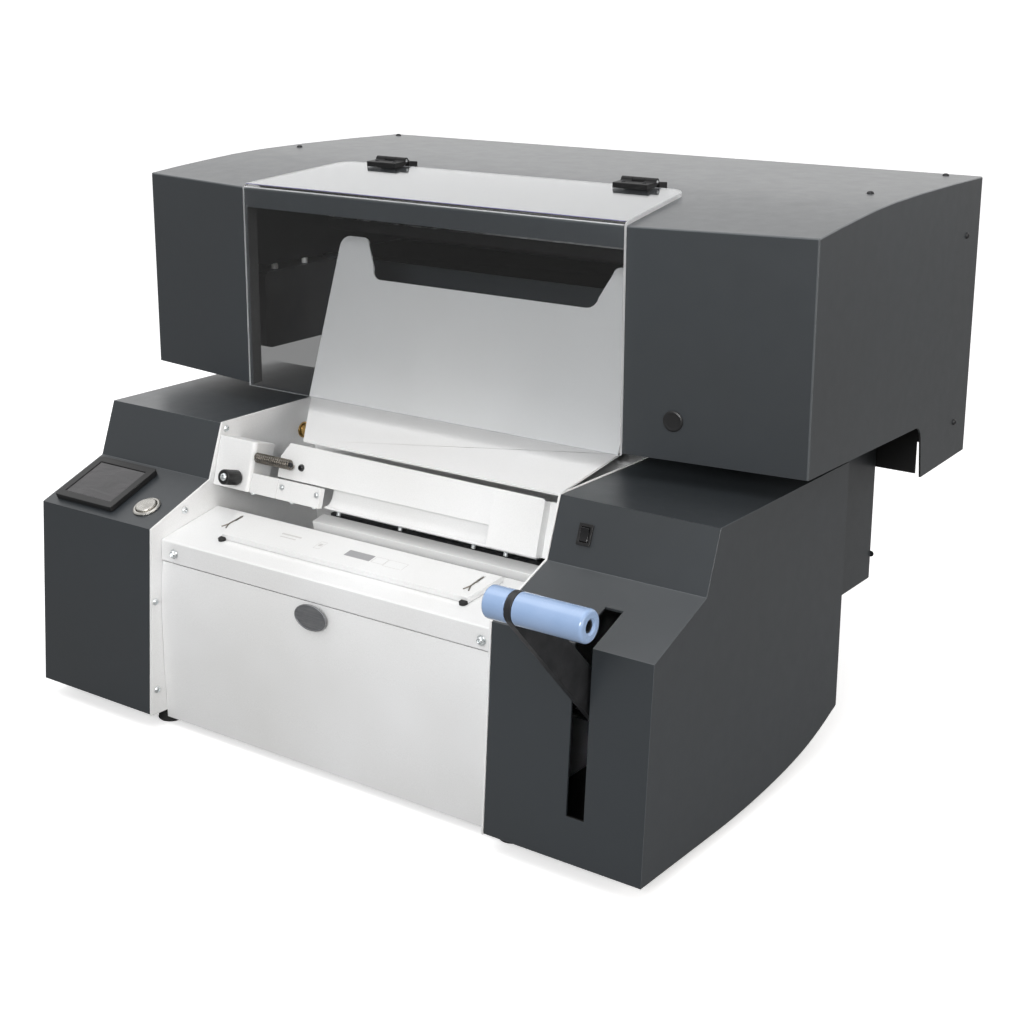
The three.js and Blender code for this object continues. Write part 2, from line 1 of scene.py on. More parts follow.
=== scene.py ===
import math
import bpy
import bmesh
from mathutils import Matrix, Vector
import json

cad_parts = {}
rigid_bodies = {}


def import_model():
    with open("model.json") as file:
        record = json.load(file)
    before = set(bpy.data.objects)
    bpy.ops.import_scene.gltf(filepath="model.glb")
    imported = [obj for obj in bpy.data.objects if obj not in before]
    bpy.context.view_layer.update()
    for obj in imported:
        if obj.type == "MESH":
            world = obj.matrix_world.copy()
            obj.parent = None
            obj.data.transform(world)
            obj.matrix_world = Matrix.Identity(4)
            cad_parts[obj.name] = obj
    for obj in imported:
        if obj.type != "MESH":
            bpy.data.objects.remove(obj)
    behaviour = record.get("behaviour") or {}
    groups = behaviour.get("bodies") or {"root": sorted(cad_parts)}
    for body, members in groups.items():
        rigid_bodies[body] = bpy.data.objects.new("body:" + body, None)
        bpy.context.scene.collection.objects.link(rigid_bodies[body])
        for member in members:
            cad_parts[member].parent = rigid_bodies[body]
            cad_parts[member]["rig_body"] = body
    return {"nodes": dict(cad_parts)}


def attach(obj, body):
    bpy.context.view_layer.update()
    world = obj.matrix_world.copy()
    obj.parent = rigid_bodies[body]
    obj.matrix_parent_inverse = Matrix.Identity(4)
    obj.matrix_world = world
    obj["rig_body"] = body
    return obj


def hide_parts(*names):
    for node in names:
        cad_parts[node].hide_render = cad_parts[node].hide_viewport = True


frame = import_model()
NODES = frame["nodes"]
SCENE = bpy.context.scene
MM = 0.001
OY = 262.5                      # layout y of the part's origin
TAU = 2 * math.pi
HORIZON_FRONT, HORIZON_BACK, ZENITH = 0.17, 1.35, 0.68


def P(x, y, z):
    """A layout point in millimetres, in the row frame in metres."""
    return Vector((x * MM, (y - OY) * MM, z * MM))


def local(x, y, z, rx=0.0, rz=0.0):
    return Matrix.Translation(P(x, y, z)) @ Matrix.Rotation(rz, 4, "Z") @ Matrix.Rotation(rx, 4, "X")


CONSOLE_TILT = math.atan2(32.5, 85.3)
FACE_TILT = math.atan2(57.1, 21.1)
CLAMP_TILT = math.radians(15.8)
SHELF_TILT = math.atan2(15.3, 82.9)
CONSOLE = local(0, 13, 216.3, CONSOLE_TILT)
FACE = local(0, 98.3, 248.8, FACE_TILT)
CLAMP = local(0, 101.9, 244.4, -CLAMP_TILT)
SHELF = local(0, 25.1, 203.3, SHELF_TILT)
IDENT = Matrix.Identity(4)


def at(m, x, y, z):
    """A place inside a local frame, millimetres."""
    return m @ Matrix.Translation(Vector((x, y, z)) * MM)


def facing(m, direction):
    """The frame m turned so that its +Z looks along direction, given in m's own axes."""
    d = Vector(direction).normalized()
    return m @ d.to_track_quat("Z", "Y").to_matrix().to_4x4()


# ------------------------------------------------------------------ camera
cam = bpy.data.cameras.new("camera")
cam.lens = 60.891
cam.sensor_width = 36.0
cam.shift_x = (512 - 486.35) / 1024
cam.shift_y = (421.29 - 512) / 1024
cam.clip_end = 100
cam_ob = bpy.data.objects.new("camera", cam)
SCENE.collection.objects.link(cam_ob)
cam_ob.location = (1.05136, -1.39768, 0.77271)
cam_ob.rotation_euler = (math.radians(75.2), 0.0, math.radians(36.267))
SCENE.camera = cam_ob

# --------------------------------------------------------------- materials


class Nodes:
    """Small helper that wires a Principled material."""

    def __init__(self, name):
        self.mat = bpy.data.materials.new(name)
        self.mat.use_nodes = True
        self.nt = self.mat.node_tree
        self.bsdf = next(n for n in self.nt.nodes if n.type == "BSDF_PRINCIPLED")
        self.out = next(n for n in self.nt.nodes if n.type == "OUTPUT_MATERIAL")
        self.coord = self.nt.nodes.new("ShaderNodeTexCoord")
        self.object = self.coord.outputs["Object"]

    def node(self, kind, **values):
        n = self.nt.nodes.new(kind)
        for k, v in values.items():
            if k in n.inputs.keys():
                n.inputs[k].default_value = v
            else:
                setattr(n, k, v)
        return n

    def link(self, a, b):
        self.nt.links.new(a, b)

    def mapped(self, scale=(1, 1, 1), rot=(0, 0, 0)):
        m = self.node("ShaderNodeMapping")
        m.inputs["Scale"].default_value = scale
        m.inputs["Rotation"].default_value = rot
        self.link(self.object, m.inputs["Vector"])
        return m.outputs["Vector"]

    def noise(self, scale, detail=2.0, rough=0.5, vector=None, distort=0.0):
        n = self.node("ShaderNodeTexNoise", Scale=scale, Detail=detail, Roughness=rough, Distortion=distort)
        self.link(vector or self.object, n.inputs["Vector"])
        return n.outputs["Fac"]

    def voronoi(self, scale, vector=None):
        n = self.node("ShaderNodeTexVoronoi", Scale=scale)
        self.link(vector or self.object, n.inputs["Vector"])
        return n.outputs["Distance"]

    def ramp(self, fac, stops):
        n = self.node("ShaderNodeValToRGB")
        cr = n.color_ramp
        while len(cr.elements) < len(stops):
            cr.elements.new(0.5)
        for e, (pos, col) in zip(cr.elements, stops):
            e.position = pos
            e.color = (*col, 1) if len(col) == 3 else col
        self.link(fac, n.inputs["Fac"])
        return n.outputs["Color"]

    def remap(self, fac, lo, hi, a=0.3, b=0.7):
        n = self.node("ShaderNodeMapRange")
        n.inputs["From Min"].default_value = a
        n.inputs["From Max"].default_value = b
        n.inputs["To Min"].default_value = lo
        n.inputs["To Max"].default_value = hi
        self.link(fac, n.inputs["Value"])
        return n.outputs["Result"]

    def bump(self, height, distance, strength=1.0, below=None):
        n = self.node("ShaderNodeBump")
        n.inputs["Strength"].default_value = strength
        n.inputs["Distance"].default_value = distance
        self.link(height, n.inputs["Height"])
        if below is not None:
            self.link(below, n.inputs["Normal"])
        return n.outputs["Normal"]

    def mix(self, a, b, fac):
        """Colour mix; a and b are sockets or colours."""
        n = self.node("ShaderNodeMix", data_type="RGBA")
        for s, v in ((n.inputs[6], a), (n.inputs[7], b)):
            if hasattr(v, "links"):
                self.link(v, s)
            else:
                s.default_value = (*v, 1)
        if hasattr(fac, "links"):
            self.link(fac, n.inputs[0])
        else:
            n.inputs[0].default_value = fac
        return n.outputs[2]

    def set(self, **values):
        names = dict(color="Base Color", rough="Roughness", metal="Metallic", ior="IOR", coat="Coat Weight",
                     coat_rough="Coat Roughness", aniso="Anisotropic", spec="Specular IOR Level",
                     trans="Transmission Weight", normal="Normal", coat_normal="Coat Normal", tangent="Tangent",
                     alpha="Alpha", sheen="Sheen Weight", emit="Emission Strength")
        for k, v in values.items():
            s = self.bsdf.inputs[names[k]]
            if hasattr(v, "links"):
                self.link(v, s)
            elif k == "color":
                s.default_value = (*v, 1)
            else:
                s.default_value = v
        return self


def around(c, k):
    return tuple(max(0.0, min(1.0, v * k)) for v in c)


def powder(name, col, rough, peel=0.00005, grain=0.00003, cool=None, spread=0.06, soil=0.0, coat=0.0, coat_rough=0.3):
    """Powder coat: orange peel, fine grain, and slow drifts of tone and gloss."""
    m = Nodes(name)
    slow = m.noise(4.0, 3.0, 0.55)
    fine = m.noise(1500.0, 2.0, 0.6)
    mid = m.noise(420.0, 3.0, 0.55)
    base = m.ramp(slow, [(0.3, around(col, 0.93)), (0.7, around(cool or col, 1.06))])
    speck = m.ramp(fine, [(0.35, (0.86, 0.86, 0.86)), (0.65, (1.0, 1.0, 1.0))])
    n = m.node("ShaderNodeMix", data_type="RGBA", blend_type="MULTIPLY")
    n.inputs[0].default_value = 0.55
    m.link(base, n.inputs[6])
    m.link(speck, n.inputs[7])
    colour = n.outputs[2]
    if soil:
        dirt = m.noise(11.0, 6.0, 0.7)
        colour = m.mix(colour, around(col, 0.86), m.remap(dirt, 0.0, soil, 0.52, 0.75))
    b1 = m.bump(mid, peel)
    b2 = m.bump(fine, grain, below=b1)
    r = m.remap(m.noise(60.0, 4.0, 0.6), rough - spread / 2, rough + spread / 2)
    m.set(color=colour, rough=r, normal=b2, coat=coat, coat_rough=coat_rough)
    return m.mat


def brushed(name, col, rough, axis_scale, metal=1.0, grain=0.00001, aniso=0.35):
    """Metal with a grain that runs along one axis."""
    m = Nodes(name)
    v = m.mapped(axis_scale)
    lines = m.noise(1.0, 3.0, 0.6, v)
    blot = m.noise(25.0, 3.0, 0.5)
    colour = m.mix(m.ramp(lines, [(0.3, around(col, 0.82)), (0.7, around(col, 1.12))]), around(col, 0.85),
                   m.remap(blot, 0.0, 0.5, 0.45, 0.75))
    m.set(color=colour, rough=m.remap(lines, rough * 0.75, rough * 1.3), metal=metal, normal=m.bump(lines, grain), aniso=aniso)
    return m.mat


def moulded(name, col, rough, grain=0.00002, scale=1400.0, coat=0.0, coat_rough=0.1, spec=0.5):
    """Moulded plastic or rubber with a fine spark-eroded grain."""
    m = Nodes(name)
    fine = m.noise(scale, 3.0, 0.6)
    slow = m.noise(18.0, 3.0, 0.5)
    colour = m.ramp(slow, [(0.3, around(col, 0.8)), (0.7, around(col, 1.25))])
    m.set(color=colour, rough=m.remap(fine, rough - 0.06, rough + 0.06), normal=m.bump(fine, grain), coat=coat, coat_rough=coat_rough, spec=spec)
    return m.mat


GRAPHITE = powder("graphite_paint", (0.030, 0.035, 0.0395), 0.42, peel=0.00005, grain=0.00003, cool=(0.029, 0.035, 0.041), spread=0.06, coat=0.6, coat_rough=0.38)
WHITE = powder("white_paint", (0.85, 0.85, 0.84), 0.42, peel=0.00003, grain=0.000012, cool=(0.85, 0.855, 0.86), spread=0.08, soil=0.05)
# Brighter copy of the white paint for the tray: painted light standing in for light the clear cover holds back.
TRAY_WHITE_PAINTED_LIGHT = powder("tray_paint_painted_light", (0.93, 0.93, 0.925), 0.42, peel=0.00003, grain=0.000012, cool=(0.85, 0.855, 0.86), spread=0.08, soil=0.05)
# Darker copy of the white paint for inner faces: painted shade, with heavier soil on top; no part is given it.
WHITE_INNER_SHADED = powder("white_paint_inner_shaded", (0.74, 0.735, 0.72), 0.46, peel=0.00003, grain=0.000012, spread=0.08, soil=0.25)
# Near-black paint: on the graphite shells' inward faces it is a darker stand-in for their coat, a painted shade inside
# the hollows; the bulkhead and gantry parts under the hood are painted with it whole.
INSIDE_PAINT_AND_SHADE = powder("inner_paint_and_shade", (0.014, 0.0138, 0.0138), 0.55, peel=0.00005, grain=0.00003, spread=0.1)
BLACK = moulded("black_plastic", (0.012, 0.012, 0.0125), 0.38)
CASE_GREY = moulded("case_grey_plastic", (0.050, 0.050, 0.052), 0.42)
# Lighter graphite laid on the rounded fold bevels: a painted highlight along each fold.
FOLD_HIGHLIGHT = powder("graphite_fold_highlight", (0.075, 0.085, 0.092), 0.36, peel=0.00004, grain=0.00002, spread=0.06, coat=0.6, coat_rough=0.3)
HINGE = moulded("hinge_black", (0.011, 0.011, 0.0115), 0.46, grain=0.000012, spec=0.28)
BLACK_GLOSS = moulded("black_gloss_plastic", (0.010, 0.010, 0.011), 0.22, grain=0.000006, coat=0.3)
RUBBER = moulded("rubber", (0.014, 0.014, 0.014), 0.78, grain=0.00004, scale=700.0)
ZINC = brushed("zinc", (0.80, 0.83, 0.84), 0.30, (60, 60, 900), metal=0.9, grain=0.000004)
STEEL = brushed("stainless_bar", (0.56, 0.56, 0.57), 0.24, (40, 1600, 1600), grain=0.000004)
ALUMINIUM = brushed("aluminium", (0.40, 0.41, 0.43), 0.38, (25, 1100, 1100), grain=0.00001)
BRASS = brushed("brass", (0.72, 0.45, 0.16), 0.25, (1500, 60, 60), grain=0.000006)
HEATER = brushed("heater_anodised", (0.34, 0.17, 0.08), 0.36, (30, 900, 900), grain=0.000008)


def dark_steel():
    """Blackened steel bar: satin, with faint rolling marks and lighter rubbed spots."""
    m = Nodes("dark_steel")
    roll = m.noise(1.0, 4.0, 0.6, m.mapped((700, 60, 60)))
    blot = m.noise(45.0, 5.0, 0.65)
    colour = m.mix(m.ramp(roll, [(0.3, (0.020, 0.021, 0.023)), (0.7, (0.042, 0.043, 0.046))]), (0.085, 0.086, 0.09),
                   m.remap(blot, 0.0, 0.5, 0.58, 0.8))
    m.set(color=colour, rough=m.remap(blot, 0.34, 0.5), metal=0.35, normal=m.bump(roll, 0.00002))
    return m.mat


def spring_steel():
    m = Nodes("spring_steel")
    s = m.noise(240.0, 4.0, 0.6)
    m.set(color=m.ramp(s, [(0.3, (0.16, 0.145, 0.125)), (0.7, (0.34, 0.31, 0.27))]), rough=m.remap(s, 0.26, 0.42), metal=0.95,
          normal=m.bump(s, 0.00001))
    return m.mat


def spun(name="spun_stainless"):
    """Face-turned stainless: concentric tool marks and a streak that turns round the axis."""
    m = Nodes(name)
    sep = m.node("ShaderNodeSeparateXYZ")
    m.link(m.object, sep.inputs[0])
    sq = []
    for k in ("X", "Y"):
        q = m.node("ShaderNodeMath", operation="MULTIPLY")
        m.link(sep.outputs[k], q.inputs[0])
        m.link(sep.outputs[k], q.inputs[1])
        sq.append(q)
    add = m.node("ShaderNodeMath", operation="ADD")
    m.link(sq[0].outputs[0], add.inputs[0])
    m.link(sq[1].outputs[0], add.inputs[1])
    rad = m.node("ShaderNodeMath", operation="SQRT")
    m.link(add.outputs[0], rad.inputs[0])
    comb = m.node("ShaderNodeCombineXYZ")
    m.link(rad.outputs[0], comb.inputs[0])
    rings = m.noise(2600.0, 2.0, 0.7, comb.outputs[0])
    colour = m.ramp(rings, [(0.3, (0.50, 0.49, 0.46)), (0.7, (0.72, 0.70, 0.66))])
    tan = m.node("ShaderNodeTangent", direction_type="RADIAL", axis="Z")
    m.set(color=colour, rough=m.remap(rings, 0.22, 0.34), metal=1.0, normal=m.bump(rings, 0.000012), aniso=0.8, tangent=tan.outputs[0])
    return m.mat


def grip_blue():
    """Polished resin grip: a soft depth of tone under a clear hard gloss, with hairline handling marks."""
    m = Nodes("grip_blue")
    slow = m.noise(30.0, 3.0, 0.5)
    hair = m.noise(1.0, 4.0, 0.65, m.mapped((120, 2400, 2400)))
    colour = m.ramp(slow, [(0.3, (0.27, 0.39, 0.61)), (0.7, (0.31, 0.43, 0.65))])
    m.set(color=colour, rough=m.remap(hair, 0.20, 0.30), normal=m.bump(hair, 0.000002), coat=0.8, coat_rough=0.05)
    return m.mat


def screen():
    """Dark panel behind a thin protective film with soft creases."""
    m = Nodes("screen_glass")
    crease = m.noise(1.0, 2.0, 0.5, m.mapped((26, 60, 60), (0, 0, 0.6)), 1.4)
    colour = m.ramp(m.noise(24.0, 2.0, 0.5), [(0.3, (0.010, 0.009, 0.011)), (0.7, (0.022, 0.018, 0.022))])
    m.set(color=colour, rough=m.remap(crease, 0.10, 0.26), normal=m.bump(crease, 0.0006), coat=0.6, coat_rough=0.08)
    return m.mat


def badge_metal():
    m = Nodes("badge_metal")
    lines = m.noise(1.0, 3.0, 0.6, m.mapped((35, 1700, 1700)))
    cloud = m.noise(70.0, 3.0, 0.6)
    colour = m.mix(m.ramp(lines, [(0.3, (0.22, 0.225, 0.235)), (0.7, (0.34, 0.345, 0.355))]), (0.20, 0.21, 0.225), m.remap(cloud, 0.0, 0.6, 0.4, 0.7))
    m.set(color=colour, rough=m.remap(lines, 0.3, 0.44), metal=0.75, normal=m.bump(lines, 0.000006), aniso=0.3)
    return m.mat


def acrylic(name, tint, rough, trans=1.0):
    """Clear acrylic sheet: smooth glass which lets lamps reach what is behind it."""
    m = Nodes(name)
    m.set(color=tint, ior=1.47, trans=trans, rough=rough)
    clear = m.node("ShaderNodeBsdfTransparent")
    clear.inputs["Color"].default_value = (0.97, 0.975, 0.98, 1)
    path = m.node("ShaderNodeLightPath")
    mix = m.node("ShaderNodeMixShader")
    m.link(path.outputs["Is Shadow Ray"], mix.inputs[0])
    m.link(m.bsdf.outputs[0], mix.inputs[1])
    m.link(clear.outputs[0], mix.inputs[2])
    m.link(mix.outputs[0], m.out.inputs["Surface"])
    return m.mat


def ink(name, col, rough=0.5):
    m = Nodes(name)
    s = m.noise(900.0, 3.0, 0.6)
    m.set(color=m.ramp(s, [(0.3, around(col, 0.92)), (0.7, around(col, 1.06))]), rough=m.remap(s, rough - 0.05, rough + 0.05))
    return m.mat


DARK = dark_steel()
SPRING = spring_steel()
SPUN = spun()
GRIP = grip_blue()
SCREEN = screen()
BADGE = badge_metal()
CLEAR = acrylic("clear_acrylic", (0.975, 0.985, 0.99), 0.0)
EDGE = acrylic("acrylic_edge", (0.93, 0.95, 0.98), 0.30, 0.35)
INK_GREY = ink("ink_grey", (0.34, 0.34, 0.35))
INK_PALE = ink("ink_pale", (0.60, 0.59, 0.58))
VIOLET = ink("bend_line", (0.16, 0.15, 0.33), 0.25)
ORANGE = moulded("connector_shell", (0.42, 0.20, 0.06), 0.42)
WIRE_RED = moulded("wire_red", (0.36, 0.05, 0.03), 0.40)
WIRE_BLACK = moulded("wire_black", (0.012, 0.012, 0.012), 0.42)

# ---------------------------------------------------------------- mesh code


def finish_object(name, bm, mats, body, replaces=(), smooth=35.0, matrix=None, weighted=True):
    bmesh.ops.recalc_face_normals(bm, faces=bm.faces)
    me = bpy.data.meshes.new(name)
    bm.to_mesh(me)
    bm.free()
    for m in (mats if isinstance(mats, (list, tuple)) else [mats]):
        me.materials.append(m)
    me.polygons.foreach_set("use_smooth", [True] * len(me.polygons))
    me.set_sharp_from_angle(angle=math.radians(smooth))
    o = bpy.data.objects.new(name, me)
    SCENE.collection.objects.link(o)
    if matrix is not None:
        o.matrix_world = matrix
    if weighted:
        w = o.modifiers.new("weighted", "WEIGHTED_NORMAL")
        w.keep_sharp = True
        w.weight = 80
    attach(o, body)
    if replaces:
        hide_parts(*replaces)
    return o


def body_of_node(node):
    return NODES[node]["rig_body"]


def cleaned(node):
    """The CAD node's surface as welded polygons, its flat facets merged."""
    bm = bmesh.new()
    bm.from_mesh(NODES[node].data)
    bmesh.ops.remove_doubles(bm, verts=bm.verts, dist=1.5e-5)
    bmesh.ops.dissolve_degenerate(bm, dist=2e-6, edges=bm.edges)
    bmesh.ops.dissolve_limit(bm, angle_limit=math.radians(0.35), verts=bm.verts, edges=bm.edges, use_dissolve_boundaries=False)
    bm.normal_update()
    return bm


def sharp_edges(bm, angle):
    lim = math.radians(angle)
    return [e for e in bm.edges if len(e.link_faces) == 2 and e.calc_face_angle(0.0) > lim]


def soften(bm, width, seg=2, angle=30.0, edges=None, mat=-1):
    edges = sharp_edges(bm, angle) if edges is None else edges
    if edges:
        bmesh.ops.bevel(bm, geom=edges, offset=width * MM, offset_type="OFFSET", segments=seg, profile=0.5,
                        affect="EDGES", clamp_overlap=True, loop_slide=True, harden_normals=False, material=mat)
    bm.normal_update()


def remake(node, mat, edge=0.35, seg=2, fold=0.0, fold_area=0.004, smooth=35.0, paint=None, name=None, angle=30.0):
    """Rebuilds a CAD node's surface with rounded folds and eased cut edges."""
    bm = cleaned(node)
    if fold:
        big = [e for e in sharp_edges(bm, 12.0) if e.calc_length() > 0.03
               and all(f.calc_area() > fold_area for f in e.link_faces)]
        # Slot 2 on the fold bevels takes the lighter graphite, a painted highlight.
        soften(bm, fold, 4, edges=big, mat=2 if isinstance(mat, list) and len(mat) > 2 else -1)
        lim = math.radians(angle)
        rest = [e for e in bm.edges if len(e.link_faces) == 2 and e.calc_face_angle(0.0) > lim]
        soften(bm, edge, seg, edges=rest)
    elif edge:
        soften(bm, edge, seg, angle)
    if paint:
        paint(bm)
    return finish_object(name or node + "_shell", bm, mat, body_of_node(node), (node,), smooth)


def ring_points(n, r, a0=0.0):
    return [(r * math.cos(a0 + TAU * i / n), r * math.sin(a0 + TAU * i / n)) for i in range(n)]


def fillet(pts, radii, n=4):
    """Rounds the corners of an open outline; radii is one number, or one for each point."""
    if not hasattr(radii, "__len__"):
        radii = [radii] * len(pts)
    out = []
    for i, p in enumerate(pts):
        r = radii[i]
        if i in (0, len(pts) - 1) or r <= 0:
            out.append(tuple(p))
            continue
        a, b, c = Vector(pts[i - 1]), Vector(p), Vector(pts[i + 1])
        u, v = (a - b), (c - b)
        if u.length < 1e-9 or v.length < 1e-9:
            continue
        cosine = max(-1, min(1, u.normalized().dot(v.normalized())))
        half = math.acos(cosine) / 2
        t = min(r / max(math.tan(half), 1e-6), 0.49 * u.length, 0.49 * v.length)
        p0, p1 = b + u.normalized() * t, b + v.normalized() * t
        for k in range(n + 1):
            s = k / n
            q = p0 * (1 - s) ** 2 + b * 2 * s * (1 - s) + p1 * s * s
            out.append((q.x, q.y))
    return out


def lathe(bm, prof, n=64, m=IDENT, mat=0):
    """A closed body of revolution about m's Z; profile points (r, z) in millimetres."""
    rings = []
    closed = len(prof) > 3 and prof[0][0] > 1e-6 and abs(prof[0][0] - prof[-1][0]) + abs(prof[0][1] - prof[-1][1]) < 1e-6
    for r, z in (prof[:-1] if closed else prof):
        if r < 1e-6:
            rings.append([bm.verts.new(m @ Vector((0, 0, z * MM)))])
        else:
            rings.append([bm.verts.new(m @ Vector((x * MM, y * MM, z * MM))) for x, y in ring_points(n, r)])
    for a, b in zip(rings, rings[1:] + (rings[:1] if closed else [])):
        if len(a) == 1 and len(b) == 1:
            continue
        for i in range(n):
            j = (i + 1) % n
            vs = [a[0], b[j], b[i]] if len(a) == 1 else [a[i], a[j], b[0]] if len(b) == 1 else [a[i], a[j], b[j], b[i]]
            bm.faces.new(vs).material_index = mat
    return bm


def prism(bm, pts, z0, z1, m=IDENT, mat=0):
    """A closed prism: outline (x, y) in m's plane, from z0 to z1, millimetres."""
    lo = [bm.verts.new(m @ (Vector((x, y, z0)) * MM)) for x, y in pts]
    hi = [bm.verts.new(m @ (Vector((x, y, z1)) * MM)) for x, y in pts]
    n = len(pts)
    faces = [bm.faces.new(lo[::-1]), bm.faces.new(hi)]
    faces += [bm.faces.new([lo[i], lo[(i + 1) % n], hi[(i + 1) % n], hi[i]]) for i in range(n)]
    for f in faces:
        f.material_index = mat
    return faces


def rounded_rect(x0, x1, y0, y1, r, n=5):
    out = []
    for cx, cy, a in ((x1 - r, y1 - r, 0), (x0 + r, y1 - r, 90), (x0 + r, y0 + r, 180), (x1 - r, y0 + r, 270)):
        for k in range(n + 1):
            t = math.radians(a + 90 * k / n)
            out.append((cx + r * math.cos(t), cy + r * math.sin(t)))
    return out


def frame_outline(bm, x0, x1, y0, y1, r, wide, z0, z1, m, mat=0):
    """A thin closed outline band, such as a printed box."""
    outer, inner = rounded_rect(x0, x1, y0, y1, r), rounded_rect(x0 + wide, x1 - wide, y0 + wide, y1 - wide, max(r - wide, 0.1))
    n = len(outer)
    v = [[bm.verts.new(m @ (Vector((x, y, z)) * MM)) for x, y in loop] for loop in (outer, inner) for z in (z0, z1)]
    for a, b in ((0, 1), (1, 3), (3, 2), (2, 0)):
        for i in range(n):
            bm.faces.new([v[a][i], v[a][(i + 1) % n], v[b][(i + 1) % n], v[b][i]]).material_index = mat


def mesh_of(bm):
    me = bpy.data.meshes.new("tmp")
    bm.to_mesh(me)
    return me


def boolean(bm_a, bm_b, operation="DIFFERENCE"):
    """bm_a cut or joined with bm_b, as a new bmesh."""
    for b in (bm_a, bm_b):
        bmesh.ops.recalc_face_normals(b, faces=b.faces)
    a = bpy.data.objects.new("tmp_a", mesh_of(bm_a))
    b = bpy.data.objects.new("tmp_b", mesh_of(bm_b))
    for o in (a, b):
        SCENE.collection.objects.link(o)
    mod = a.modifiers.new("cut", "BOOLEAN")
    mod.operation = operation
    mod.solver = "EXACT"
    mod.object = b
    bpy.context.view_layer.update()
    dg = bpy.context.evaluated_depsgraph_get()
    out = bmesh.new()
    out.from_mesh(a.evaluated_get(dg).to_mesh())
    for o in (a, b):
        me = o.data
        bpy.data.objects.remove(o)
        bpy.data.meshes.remove(me)
    bm_a.free()
    bm_b.free()
    return out


def template(bm):
    """Vertices and faces of a mesh, to be stamped many times."""
    bm.verts.index_update()
    bm.verts.ensure_lookup_table()
    t = ([v.co.copy() for v in bm.verts], [[v.index for v in f.verts] for f in bm.faces])
    bm.free()
    return t


def stamp(bm, temp, m, mat=0, scale=1.0):
    vs = [bm.verts.new(m @ (c * scale)) for c in temp[0]]
    for f in temp[1]:
        bm.faces.new([vs[i] for i in f]).material_index = mat


def tube(bm, pts, r, n=12, mat=0, closed_ends=True):
    """A closed round tube along points given in metres."""
    pts = [Vector(p) for p in pts]
    rings = []
    up = Vector((0, 0, 1))
    prev = None
    for i, p in enumerate(pts):
        d = (pts[min(i + 1, len(pts) - 1)] - pts[max(i - 1, 0)]).normalized()
        side = (prev - d * prev.dot(d)).normalized() if prev is not None else d.cross(up if abs(d.z) < 0.9 else Vector((1, 0, 0))).normalized()
        prev = side
        other = d.cross(side)
        rings.append([bm.verts.new(p + (side * math.cos(TAU * k / n) + other * math.sin(TAU * k / n)) * r * MM) for k in range(n)])
    for a, b in zip(rings, rings[1:]):
        for k in range(n):
            bm.faces.new([a[k], a[(k + 1) % n], b[(k + 1) % n], b[k]]).material_index = mat
    bm.faces.new(rings[0][::-1]).material_index = mat
    bm.faces.new(rings[-1]).material_index = mat


# screw heads: a domed cross-recess head and a domed hex-socket head, and a flat washer
def pan_phillips(d=7.4, h=2.5):
    head = bmesh.new()
    r = d / 2
    prof = [(0, h), (r * 0.35, h * 0.985), (r * 0.62, h * 0.90), (r * 0.84, h * 0.70), (r * 0.96, h * 0.42), (r, h * 0.16), (r * 0.985, 0), (0, 0)]
    lathe(head, prof, 40)
    for a in (0, math.pi / 2):
        cross = bmesh.new()
        m = Matrix.Rotation(a, 4, "Z")
        w, l = 0.115 * d, 0.30 * d
        top = [m @ (Vector((x, y, h + 0.4)) * MM) for x, y in ((-l, -w), (l, -w), (l, w), (-l, w))]
        low = [m @ (Vector((x * 0.45, y * 0.6, h - 0.26 * d)) * MM) for x, y in ((-l, -w), (l, -w), (l, w), (-l, w))]
        t = [cross.verts.new(v) for v in top]
        b = [cross.verts.new(v) for v in low]
        cross.faces.new(t)
        cross.faces.new(b[::-1])
        for i in range(4):
            cross.faces.new([t[i], t[(i + 1) % 4], b[(i + 1) % 4], b[i]])
        head = boolean(head, cross)
    return template(head)


def button_hex(d=8.0, h=3.2):
    head = bmesh.new()
    r = d / 2
    lathe(head, [(0, h), (r * 0.48, h), (r * 0.70, h * 0.88), (r * 0.88, h * 0.62), (r * 0.98, h * 0.28), (r, 0.15), (r * 0.97, 0), (0, 0)], 40)
    sock = bmesh.new()
    prism(sock, ring_points(6, 0.30 * d), h - 0.24 * d, h + 0.5)
    return template(boolean(head, sock))


def washer(d=10.0, hole=5.2, t=0.9):
    bm = bmesh.new()
    lathe(bm, [(hole / 2, 0), (d / 2 - 0.2, 0), (d / 2, 0.2), (d / 2, t - 0.2), (d / 2 - 0.2, t), (hole / 2, t), (hole / 2, 0)], 40)
    return template(bm)


PAN = pan_phillips()
HEX = button_hex()
WASHER = washer()

# ------------------------------------------------------- carried-over shells


def inner_side(bm):
    """Slot 1, the near-black inner paint, goes on the faces of a shell that look into its own hollow, as painted shade
    there.
    """
    co = [v.co for v in bm.verts]
    mid = Vector([(max(c[i] for c in co) + min(c[i] for c in co)) / 2 for i in range(3)])
    bm.normal_update()
    for f in bm.faces:
        c = f.calc_center_median()
        if f.normal.dot(mid - c) > 0.004:
            f.material_index = 1


